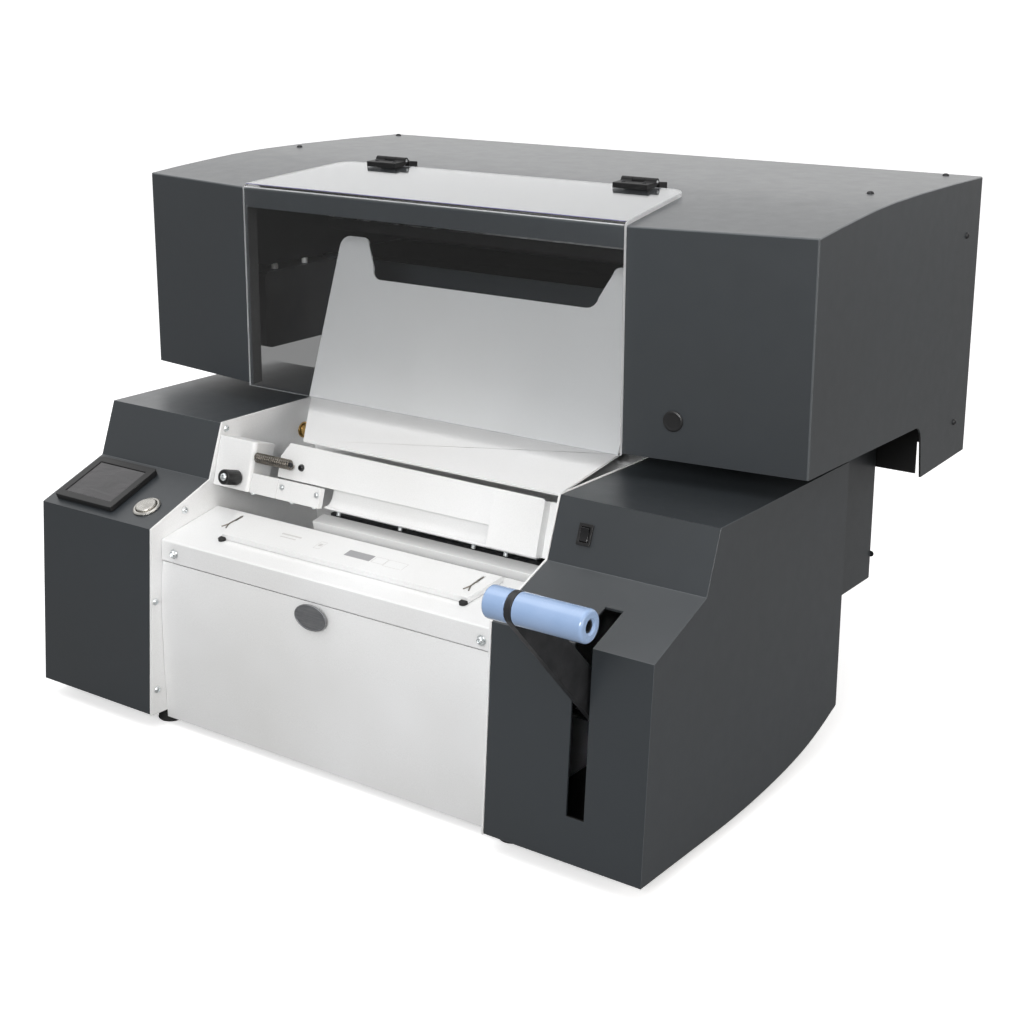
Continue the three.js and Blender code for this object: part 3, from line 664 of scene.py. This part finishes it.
# side housings: folded skins with rounded folds, each fold carrying a painted highlight in lighter graphite
for side in ("left", "right"):
    remake(f"housing_{side}", [GRAPHITE, INSIDE_PAINT_AND_SHADE, FOLD_HIGHLIGHT], edge=0.3, fold=1.5, name=f"housing_skin_{side}", paint=inner_side)
    remake(f"side_plate_{side}", WHITE, edge=0.35, name=f"side_plate_sheet_{side}")
remake("hood", [GRAPHITE, INSIDE_PAINT_AND_SHADE, FOLD_HIGHLIGHT], edge=0.3, fold=1.5, name="hood_skin", paint=inner_side)
remake("rear_column", [GRAPHITE, INSIDE_PAINT_AND_SHADE, FOLD_HIGHLIGHT], edge=0.3, fold=1.5, name="rear_column_skin", paint=inner_side)
remake("rear_bulkhead", INSIDE_PAINT_AND_SHADE, edge=0.3, name="rear_bulkhead_sheet")
remake("chassis_base", DARK, edge=0.4, fold=1.2, name="chassis_tray")
remake("front_panel", WHITE, edge=0.3, name="front_panel_sheet", angle=40)
remake("shelf", WHITE, edge=0.3, fold=1.6, fold_area=0.002, name="shelf_sheet", angle=40)
remake("back_wall", WHITE, edge=0.3, name="back_wall_sheet", angle=50)
remake("lower_jaw", WHITE, edge=0.5, name="lower_jaw_bar")
remake("anvil_bar", DARK, edge=0.5, name="anvil_block")
# bracket block, with a rounded bead down its right front corner
bm = cleaned("guide_bracket")
inv = CLAMP.inverted()


def on_corner(e):
    a, b = (inv @ v.co / MM for v in e.verts)
    return all(abs(q.x + 162.5) < 0.2 and abs(q.y) < 0.2 for q in (a, b))


soften(bm, 5.0, 8, edges=[e for e in bm.edges if on_corner(e)])
soften(bm, 0.8, 3, 40)
finish_object("guide_bracket_block", bm, WHITE, "frame", ("guide_bracket",))
remake("clamp_bar", WHITE, edge=0.4, name="clamp_bar_plate")
remake("pressure_channel", WHITE, edge=0.4, name="pressure_channel_sheet", angle=50)
remake("clamp_end_plate", WHITE, edge=0.4, name="clamp_end_cheek")
remake("guide_pins", ZINC, edge=0.2, name="guide_pin_rail")
remake("clamp_link", DARK, edge=0.5, name="clamp_link_plate")
# The tray wears the brighter white copy, which paints light onto it.
remake("feed_tray", TRAY_WHITE_PAINTED_LIGHT, edge=0.35, name="feed_tray_sheet")
remake("lever_arm", DARK, edge=0.5, seg=3, name="lever_arm_bar")
remake("lever_shaft", STEEL, edge=0.6, name="lever_shaft_bar")
remake("lever_cam", DARK, edge=0.6, name="lever_cam_disc")
remake("shaft_bearing", ALUMINIUM, edge=0.6, name="shaft_bearing_block")
remake("gantry_plate_left", INSIDE_PAINT_AND_SHADE, edge=0.4, name="gantry_cheek_left")
remake("gantry_plate_right", INSIDE_PAINT_AND_SHADE, edge=0.4, name="gantry_cheek_right")
remake("electronics_box", CASE_GREY, edge=0.6, name="electronics_case")
remake("gantry_beam", INSIDE_PAINT_AND_SHADE, edge=0.5, name="gantry_beam_profile")
remake("linear_rail", STEEL, edge=0.4, name="linear_rail_bar")
remake("carriage", DARK, edge=0.6, name="carriage_body")
remake("print_head", HEATER, edge=0.6, name="print_head_block")
remake("drive_belt", RUBBER, edge=0.3, name="drive_belt_loop")
remake("drive_motor", DARK, edge=0.8, name="drive_motor_body")
remake("display_bezel", BLACK, edge=0.8, seg=3, name="display_bezel_frame")
remake("display_glass", SCREEN, edge=0.25, name="display_panel")
remake("rocker_frame", BLACK, edge=0.35, name="rocker_bezel")
remake("power_rocker", BLACK_GLOSS, edge=0.5, seg=3, name="rocker_paddle")
for s in ("left", "right"):
    remake(f"hinge_leaf_{s}", HINGE, edge=0.45, seg=3, name=f"hinge_leaf_part_{s}")
    remake(f"hinge_block_{s}", HINGE, edge=0.45, seg=3, name=f"hinge_block_part_{s}")

# side rail with its two real holes
bm = cleaned("side_rail")
drill = bmesh.new()
for u in (-119, -72):
    lathe(drill, [(0, 0), (1.5, 0), (1.5, 14), (0, 14)], 28, facing(at(CLAMP, u, 14, 12), (0, -1, 0)))
bm = boolean(bm, drill)
soften(bm, 0.25, 2, 50)
finish_object("side_rail_bar", bm, WHITE, "frame", ("side_rail",))

# guide strip
bm = cleaned("guide_strip")
soften(bm, 0.5, 3, 35)
finish_object("guide_strip_plate", bm, WHITE, "frame", ("guide_strip",))


# clear cover: one bent sheet, polished faces and sawn edges
def cover():
    bend_y, bend_z, r_out, thick = 199.1, 542.3, 5.5, 4.0
    x0, x1, corner, rear = -244.0, 231.0, 16.0, 333.5
    top0, top1 = Vector((rear, 560.8)), Vector((198.57, 547.775))
    along = (top1 - top0).normalized()
    normal = Vector((-along.y, along.x)) * -1.0           # up and away from the hood
    if normal.y < 0:
        normal = -normal
    sections = []                                         # (outer y, z, inner y, z, x inset)
    for k in range(9):                                    # rounded rear corners
        a = math.radians(90 * k / 8)
        y = rear - corner * (1 - math.cos(a))
        inset = corner * (1 - math.sin(a))
        q = top0 + along * ((rear - y) / -along.x)
        sections.append((q, q - normal * thick, inset))
    start = top0 + along * (corner / -along.x)
    end_a = math.atan2(normal.y, normal.x)
    bend_start = Vector((bend_y, bend_z)) + normal * r_out
    for k in range(1, 7):
        q = start.lerp(bend_start, k / 6)
        sections.append((q, q - normal * thick, 0.0))
    for k in range(1, 25):
        a = end_a + (math.pi - end_a) * k / 24
        n = Vector((math.cos(a), math.sin(a)))
        c = Vector((bend_y, bend_z))
        sections.append((c + n * r_out, c + n * (r_out - thick), 0.0))
    for k in range(1, 9):
        z = bend_z + (328.0 - bend_z) * k / 8
        sections.append((Vector((bend_y - r_out, z)), Vector((bend_y - r_out + thick, z)), 0.0))
    bm = bmesh.new()
    rows = []
    for o, i, inset in sections:
        narrow = max(0.0, (o.x - 199.0) / (rear - 199.0))     # the top narrows to the rear
        left, right = x0 + inset + 23.0 * narrow, x1 - inset - 16.5 * narrow
        rows.append([bm.verts.new(P(x, q.x, q.y)) for q, x in ((o, left), (o, right), (i, right), (i, left))])
    for a, b in zip(rows, rows[1:]):
        for k in range(4):
            f = bm.faces.new([a[k], a[(k + 1) % 4], b[(k + 1) % 4], b[k]])
            f.material_index = 1 if k in (1, 3) else 0
    for row in (rows[0][::-1], rows[-1]):
        bm.faces.new(row).material_index = 1
    soften(bm, 0.35, 2, 45)
    finish_object("clear_cover_sheet", bm, [CLEAR, EDGE], "cover", ("clear_cover",), 25.0)


cover()

# --------------------------------------------------------------- round parts
# feet
for n, x, y, h in (("front_left", -222, 36, 14.6), ("front_right", 222, 36, 14.6), ("rear_left", -190, 392, 17.6), ("rear_right", 190, 392, 17.6)):
    bm = bmesh.new()
    prof = [(0, 0)] + fillet([(0.5, 0), (12.6, 0), (14, 1.6), (13.4, 3.2), (12.6, h - 1.2), (12.6, h), (0.5, h)], [0, 0.6, 0.8, 0.4, 0.3, 0.4, 0], 3) + [(0, h)]
    lathe(bm, prof, 56, local(x, y, 0))
    finish_object(f"foot_pad_{n}", bm, RUBBER, "frame", (f"foot_{n}",))

# push buttons
for s, x in (("left", -248), ("right", 248)):
    m = at(CONSOLE, x, 29, 0)
    bm = bmesh.new()
    prof = fillet([(11.5, -13.6), (12.4, -13.6), (12.4, 0.4), (15, 0.4), (15, 1.5), (13.7, 2.6), (12.1, 2.6), (11.5, 1.9), (11.5, -13.6)],
                  [0, 0, 0.1, 0.15, 0.5, 0.6, 0.3, 0.3, 0], 3)
    lathe(bm, prof, 96)
    finish_object(f"button_bezel_{s}", bm, SPUN, "frame", (f"button_ring_{s}",), matrix=m)
    bm = bmesh.new()
    prof = [(0, -10)] + fillet([(0.5, -10), (11, -10), (11, 3.7), (10.2, 4.6), (8.5, 4.9), (0.5, 5.4)], [0, 0.2, 0.5, 0.6, 1.0, 0], 4) + [(0, 5.4)]
    lathe(bm, prof, 96)
    finish_object(f"button_cap_{s}", bm, SPUN, f"button_{s}", (f"push_button_{s}",), matrix=m)

# lever grip: two turned sleeves, the outer one with a rounded nose and a bore
GX0, GX1, GR = 287.0, 382.0, 14.0
inner_len, outer_len = 309.6 - 0.3 - GX0, GX1 - 316.6
m = facing(local(GX0, -88, 282.3), (1, 0, 0))
bm = bmesh.new()
prof = [(0, 0), (6, 0)] + fillet([(6.5, 0), (GR, 0), (GR, inner_len), (6.5, inner_len)], [0, 3.2, 0.8, 0], 8) + [(6, inner_len), (0, inner_len)]
lathe(bm, prof, 96)
finish_object("grip_sleeve_inner", bm, GRIP, "lever", ("grip_inner",), matrix=m)
m = facing(local(316.6, -88, 282.3), (1, 0, 0))
bm = bmesh.new()
prof = [(0, 0)] + fillet([(6, 0), (GR, 0), (GR, outer_len), (6.9, outer_len), (5.4, outer_len - 1.5), (5.2, outer_len - 24), (0.5, outer_len - 24)],
                         [0, 0.8, 7.0, 0.5, 0.4, 0.3, 0], 12) + [(0, outer_len - 24)]
lathe(bm, prof, 96)
finish_object("grip_sleeve_outer", bm, GRIP, "lever", ("grip_outer",), matrix=m)
# steel end of the grip's spindle, seen down the bore
bm = bmesh.new()
m = facing(local(316.6 + outer_len - 23.8, -88, 282.3), (1, 0, 0))
lathe(bm, [(0, 0), (3.8, 0), (3.8, 6.2), (3.2, 6.8), (0, 6.8)], 40, m)
lathe(bm, [(4.2, 0), (5.1, 0), (5.1, 21.6), (4.9, 21.9), (4.5, 21.9), (4.2, 21.6), (4.2, 0)], 56, m)
finish_object("grip_spindle_end", bm, DARK, "lever")

# stop knob with a ribbed side and a screw in its end
m = facing(at(CLAMP, -179, -0.4, 11.5), (0, -1, 0))
bm = bmesh.new()
nk = 96
prof = [(0, 0), (5.6, 0), (5.6, 1.4), (7.5, 1.7), (8, 2.4), (8, 20.4), (7.7, 21.4), (6.9, 22), (4.9, 22), (4.5, 21.6), (4.5, 20.9), (0, 20.9)]
rings = []
for r, z in prof:
    if r == 0:
        rings.append([bm.verts.new((0, 0, z * MM))])
    else:
        ribbed = 2.2 < z < 21.0 and r > 7.4
        rings.append([bm.verts.new(Vector(((r - (0.35 if ribbed and i % 4 == 0 else 0)) * MM * math.cos(TAU * i / nk),
                                           (r - (0.35 if ribbed and i % 4 == 0 else 0)) * MM * math.sin(TAU * i / nk), z * MM))) for i in range(nk)])
for a, b in zip(rings, rings[1:]):
    for i in range(nk):
        j = (i + 1) % nk
        bm.faces.new([a[0], b[j], b[i]] if len(a) == 1 else [a[i], a[j], b[0]] if len(b) == 1 else [a[i], a[j], b[j], b[i]])
finish_object("stop_knob_body", bm, BLACK, "knob", ("stop_knob",), matrix=m, smooth=50)
bm = bmesh.new()
stamp(bm, PAN, at(m, 0, 0, 20.9), scale=1.12)
finish_object("stop_knob_screw", bm, ZINC, "knob", matrix=None)

# guide rod and its real coil spring
bm = bmesh.new()
m = facing(at(CLAMP, -162.2, 3.5, 36), (1, 0, 0))
lathe(bm, [(0, 0)] + fillet([(0.3, 0), (2.2, 0), (2.2, 50.3), (0.3, 50.3)], [0, 0.3, 0.5, 0], 3) + [(0, 50.3)], 40, m)
finish_object("guide_rod_bar", bm, DARK, "frame", ("guide_rod",))
bm = bmesh.new()
turns, length, rc, rw, dead = 17, 49.0, 4.65, 0.74, 1.1
pts = []
steps = turns * 24
for i in range(steps + 1):
    t = i / steps
    a = TAU * turns * t
    # closed end turns, even pitch between them
    e = 0.045
    z = rw + (length - 2 * rw) * (t + 0.0)
    if t < e:
        z = rw + (length - 2 * rw) * e * (t / e) ** 1.6
    elif t > 1 - e:
        z = rw + (length - 2 * rw) * (1 - e * ((1 - t) / e) ** 1.6)
    pts.append(m @ (Vector((rc * math.cos(a), rc * math.sin(a), 0.8 + z)) * MM))
tube(bm, pts, rw, 10)
finish_object("guide_coil_spring", bm, SPRING, "frame", ("guide_spring",), weighted=False, smooth=60)

# brass bush on the left side plate
bm = bmesh.new()
lathe(bm, fillet([(4, 0), (9, 0), (9, 2), (7, 3), (7, 9), (4, 9), (4, 0)], [0, 0.4, 0.4, 0.4, 0.5, 0.4, 0], 3), 64, facing(local(-212.6, 244, 272), (1, 0, 0)))
finish_object("brass_bush_ring", bm, BRASS, "frame", ("brass_bush",))

# plug in the hood's right front
ang = math.atan2(220 - 198.3, 411 - 232)
plug_y = 198.3 + (281 - 232) / (411 - 232) * (220 - 198.3)
m = facing(local(281, plug_y, 367, 0, ang), (0, -1, 0))
bm = bmesh.new()
prof = [(0, -6)] + fillet([(0.5, -6), (7.6, -6), (7.6, 0.4), (10, 0.4), (9.8, 1.3), (8.4, 1.9), (6.2, 1.7), (0.5, 1.7)], [0, 0.4, 0, 0.2, 0.6, 0.6, 0.8, 0], 4) + [(0, 1.7)]
lathe(bm, prof, 72)
finish_object("hood_plug_cap", bm, BLACK, "frame", ("hood_plug",), matrix=m)

# oval badge: raised rim, slightly domed field, left plain
bm = bmesh.new()
m = local(-4, 19.2, 167.5, math.radians(90))    # local Z looks to -Y
n = 96
levels = [(1.0, -2.0), (1.0, -0.5), (0.985, -0.15), (0.955, 0.0), (0.925, -0.06), (0.905, -0.38), (0.88, -0.45), (0.7, -0.32), (0.45, -0.2), (0.2, -0.14)]
rings = [[bm.verts.new(m @ Vector((20 * MM * k * math.cos(TAU * i / n), 13 * MM * (k if k > 0.9 else k) * math.sin(TAU * i / n), (2.0 + h) * MM)))
          for i in range(n)] for k, h in levels]
for a, b in zip(rings, rings[1:]):
    for i in range(n):
        bm.faces.new([a[i], a[(i + 1) % n], b[(i + 1) % n], b[i]])
bm.faces.new(rings[0][::-1])
c = bm.verts.new(m @ Vector((0, 0, (2.0 - 0.12) * MM)))
for i in range(n):
    bm.faces.new([rings[-1][i], rings[-1][(i + 1) % n], c])
finish_object("badge_oval", bm, BADGE, "frame", ("front_badge",))

# ------------------------------------------------------------------ fasteners
bm = bmesh.new()
for y, z in ((124.1, 298.9), (59.5, 225.3), (12.9, 138.6), (9.3, 42.8)):
    for x, d in ((-213, (1, 0, 0)), (213, (-1, 0, 0))):
        stamp(bm, PAN, facing(local(x, y, z), d) @ Matrix.Rotation(0.5 + z * 0.1, 4, "Z"))
finish_object("side_plate_screws", bm, ZINC, "frame")

bm = bmesh.new()
for x, z in ((-193.9, 191.3), (195.3, 190.3)):
    mm = facing(local(x, 24.2, z), (0, -1, 0))
    stamp(bm, WASHER, mm)
    stamp(bm, HEX, at(mm, 0, 0, 0.9))
finish_object("shelf_screws", bm, ZINC, "frame")

bm = bmesh.new()
mm = facing(at(CLAMP, -104, 10, 35), (0, -1, 0))
stamp(bm, HEX, mm, scale=0.95)
finish_object("clamp_bolt_head", bm, BLACK_GLOSS, "clamp")

bm = bmesh.new()
for u, s in ((-158, 0.85), (-104, 0.8), (-74, 0.7)):
    stamp(bm, PAN, facing(at(CLAMP, u, 4.2, -1), (0, 0, -1)), scale=s)
for u in (-119, -72):
    mm = facing(at(CLAMP, u, 2, 12), (0, -1, 0))
    stamp(bm, WASHER, mm, scale=0.62)
    stamp(bm, PAN, at(mm, 0, 0, 0.3), scale=0.55)
finish_object("side_rail_screws", bm, ZINC, "frame")

bm = bmesh.new()
for w in (47.0, 25.5):
    stamp(bm, PAN, facing(at(CLAMP, 203.5, 27, w), (1, 0, 0)), scale=0.85)
finish_object("end_cheek_screws", bm, ZINC, "clamp")


# hood-top screws
def hood_z(y):
    top = [(198.3, 543.2), (220, 545.3), (260, 549.3), (300, 552.6), (345, 556), (390, 558), (460, 559), (550, 558.8), (638.5, 557.5)]
    for (y0, z0), (y1, z1) in zip(top, top[1:]):
        if y <= y1:
            return z0 + (z1 - z0) * (y - y0) / (y1 - y0)
    return top[-1][1]


bm = bmesh.new()
for x in (-376.6, 362):
    for y in (430, 619):
        stamp(bm, PAN, local(x, y, hood_z(y)), scale=0.95)
finish_object("hood_top_screws", bm, DARK, "frame")

bm = bmesh.new()
for s in (-1, 1):
    for y, z in ((600, 300), (600, 500)):
        xw = 411 - (411 - 395) * (y - 220) / (638.5 - 220)
        stamp(bm, PAN, facing(local(s * xw, y, z), (s, 0, 0)), scale=0.9)
for x in (-330, 0, 330):
    stamp(bm, PAN, facing(local(x, 557, 150), (0, 1, 0)), scale=0.9)
finish_object("rear_edge_screws", bm, DARK, "frame")

# hinge pins, and the screws through each leaf
for s, hx in (("left", -155.5), ("right", 160)):
    bm = bmesh.new()
    lathe(bm, [(0, -20.5), (1.2, -20.5), (1.5, -20.2), (1.5, 20.2), (1.2, 20.5), (0, 20.5)], 32, facing(local(hx, 336, 566), (1, 0, 0)))
    finish_object(f"hinge_pin_{s}", bm, ZINC, "cover")
    bm = bmesh.new()
    for dx in (-12, 12):
        stamp(bm, PAN, local(hx + dx, 336 - 11.5, 566 - 1.0), scale=0.55)
    finish_object(f"hinge_block_screws_{s}", bm, DARK, "cover")
    bm = bmesh.new()
    for dx in (-12, 12):
        stamp(bm, PAN, local(hx + dx, 336 + 12, 566 - 1.6), scale=0.55)
    finish_object(f"hinge_leaf_screws_{s}", bm, DARK, "frame")

# ------------------------------------------------------ strip print and clips
bm = bmesh.new()
Z0, Z1 = 6.5, 6.56
prism(bm, rounded_rect(26 - 29, 32 + 26 - 29, 44, 55, 0.6), Z0, Z1, SHELF, 0)
frame_outline(bm, 31, 46, 44, 55, 0.8, 0.5, Z0, Z1, SHELF, 1)
frame_outline(bm, 46.5, 70, 42.5, 55, 0.8, 0.5, Z0, Z1, SHELF, 1)
frame_outline(bm, -42, -34, 43, 57, 0.8, 0.5, Z0, Z1, SHELF, 1)
prism(bm, rounded_rect(-40, -36, 48, 53, 0.5), Z0, Z1, SHELF, 1)
prism(bm, rounded_rect(-92, -66, 52.5, 55.0, 0.5), Z0, Z1, SHELF, 1)
prism(bm, rounded_rect(-90, -69, 47.5, 49.0, 0.4), Z0, Z1, SHELF, 1)
finish_object("strip_print", bm, [INK_GREY, INK_PALE], "frame", weighted=False)

bm = bmesh.new()
for x in (-159, 150):
    tube(bm, [SHELF @ (Vector((x + a, b, c)) * MM) for a, b, c in ((0, 66, 6.1), (0, 60, 6.3), (0, 52, 6.9), (0, 46, 7.0), (1.6, 42, 6.9), (3.4, 38, 6.9))], 0.7, 12, 0)
    tube(bm, [SHELF @ (Vector((x + a, b, c)) * MM) for a, b, c in ((0, 46, 7.0), (-1.6, 42, 6.9), (-3.2, 38.5, 6.9))], 0.65, 12, 0)
finish_object("strip_clips", bm, SPRING, "frame", weighted=False, smooth=60)

bm = bmesh.new()
for x in (-150, 156):
    lathe(bm, [(0, 0.2), (4.2, 0.2), (4.2, 2.6), (3.4, 3.2), (0, 3.2)], 32, at(SHELF, x, 25.4, 0))
finish_object("strip_feet", bm, RUBBER, "frame")

# thin tinted line that the heat bend leaves in the acrylic
bm = bmesh.new()
a = math.radians(104)
cy, cz = 199.1, 542.3
py, pz = cy + 5.15 * math.cos(a), cz + 5.15 * math.sin(a)
tube(bm, [P(-242.6, py, pz), P(229.6, py, pz)], 0.6, 16)
finish_object("cover_bend_line", bm, VIOLET, "cover", smooth=60)

# ----------------------------------------------------- inside the hood
# two light screws on top of the left case, connectors and loom on the beam
bm = bmesh.new()
for y in (309, 360):
    lathe(bm, [(0, 0), (3.6, 0), (3.8, 0.4), (3.8, 5.2), (3.2, 6.0), (0, 6.2)], 32, local(-308, y, 434.3))
finish_object("case_studs", bm, ink("stud_nylon", (0.72, 0.72, 0.70), 0.35), "frame")

bm = bmesh.new()
for x, w in ((-206, 12), (-160, 20)):
    prism(bm, rounded_rect(x - w / 2, x + w / 2, 396.2, 402.2, 1.0), 497, 509, Matrix.Translation((0, -OY * MM, 0)), 0)
soften(bm, 0.5, 2, 30)
finish_object("loom_connectors", bm, ORANGE, "frame")

bm = bmesh.new()
for k, (dy, dz) in enumerate(((0, 0), (2.3, 0.5), (0.9, 2.2))):
    pts = []
    for i in range(41):
        t = i / 40
        x = -290 + 560 * t
        pts.append(P(x, 400.2 - 2.6 + dy * 0.9 + 0.5 * math.sin(x * 0.05 + k), 514.6 + dz + 0.6 * math.sin(x * 0.031 + 2 * k)))
    tube(bm, pts, 1.05, 10, k % 2)
finish_object("loom_wires", bm, [WIRE_RED, WIRE_BLACK], "frame", weighted=False, smooth=60)

# --------------------------------------------------------- floor and light
bm = bmesh.new()
bmesh.ops.create_grid(bm, x_segments=8, y_segments=8, size=30.0)
me = bpy.data.meshes.new("floor")
bm.to_mesh(me)
bm.free()
floor = bpy.data.objects.new("floor", me)
SCENE.collection.objects.link(floor)
floor.location = (0, 0, -0.0004)
fm = Nodes("floor_paper")
paper = fm.ramp(fm.noise(3.0, 3.0, 0.5), [(0.3, (0.90, 0.90, 0.90)), (0.7, (0.92, 0.92, 0.92))])
path = fm.node("ShaderNodeLightPath")
glow = fm.node("ShaderNodeMath", operation="MULTIPLY")
fm.link(path.outputs["Is Camera Ray"], glow.inputs[0])
glow.inputs[1].default_value = 0.50
fm.set(color=fm.mix((0.27, 0.27, 0.27), paper, path.outputs["Is Camera Ray"]), rough=0.9, spec=0.1, emit=glow.outputs[0])
fm.bsdf.inputs["Emission Color"].default_value = (1.0, 1.0, 1.0, 1)
me.materials.append(fm.mat)

# studio: a bright ceiling, a bright back wall and a dim front
world = bpy.data.worlds.new("studio")
world.use_nodes = True
wn = world.node_tree
bg = next(n for n in wn.nodes if n.type == "BACKGROUND")


def wnode(kind, **values):
    n = wn.nodes.new(kind)
    for k, v in values.items():
        setattr(n, k, v)
    return n


def wmath(op, a, b):
    n = wnode("ShaderNodeMath", operation=op)
    for s, v in zip(n.inputs, (a, b)):
        if hasattr(v, "links"):
            wn.links.new(v, s)
        else:
            s.default_value = v
    return n.outputs[0]


ray = wnode("ShaderNodeTexCoord")
split = wnode("ShaderNodeSeparateXYZ")
wn.links.new(ray.outputs["Generated"], split.inputs[0])
up = wmath("MAXIMUM", split.outputs["Z"], 0.0)
back = wmath("ADD", wmath("MULTIPLY", split.outputs["X"], -0.55), wmath("MULTIPLY", split.outputs["Y"], 0.83))
turn = wnode("ShaderNodeMapRange", interpolation_type="SMOOTHSTEP")
wn.links.new(back, turn.inputs["Value"])
for k, v in (("From Min", -0.3), ("From Max", 0.7), ("To Min", HORIZON_FRONT), ("To Max", HORIZON_BACK)):
    turn.inputs[k].default_value = v
level = wmath("ADD", wmath("MULTIPLY", up, ZENITH), wmath("MULTIPLY", wmath("SUBTRACT", 1.0, up), turn.outputs["Result"]))
bg.inputs["Color"].default_value = (1.0, 1.0, 1.0, 1)
wn.links.new(level, bg.inputs["Strength"])
SCENE.world = world


def softbox(name, place, target, size_x, size_y, power, colour=(1, 1, 1), spread=180):
    d = bpy.data.lights.new(name, "AREA")
    d.shape = "RECTANGLE"
    d.size, d.size_y = size_x, size_y
    d.energy = power
    d.color = colour
    d.spread = math.radians(spread)
    o = bpy.data.objects.new(name, d)
    SCENE.collection.objects.link(o)
    o.location = place
    o.rotation_euler = (Vector(target) - Vector(place)).to_track_quat("-Z", "Y").to_euler()
    return o


softbox("top_box", (-0.2, -0.5, 2.2), (0, -0.1, 0.3), 2.2, 1.6, 14)
softbox("front_box", (0.9, -2.1, 1.2), (0, -0.02, 0.45), 0.9, 0.7, 6.0, spread=75)
softbox("right_box", (2.6, -0.3, 0.85), (0.3, 0.0, 0.3), 1.4, 1.2, 22, (1.0, 0.94, 0.88))

SCENE.view_settings.view_transform = "Standard"
SCENE.view_settings.look = "None"
SCENE.view_settings.exposure = 0.0
SCENE.view_settings.gamma = 1.0
SCENE.cycles.use_denoising = True
SCENE.cycles.max_bounces = 12
SCENE.cycles.transmission_bounces = 10
SCENE.cycles.transparent_max_bounces = 16
SCENE.cycles.caustics_reflective = False
SCENE.cycles.caustics_refractive = False
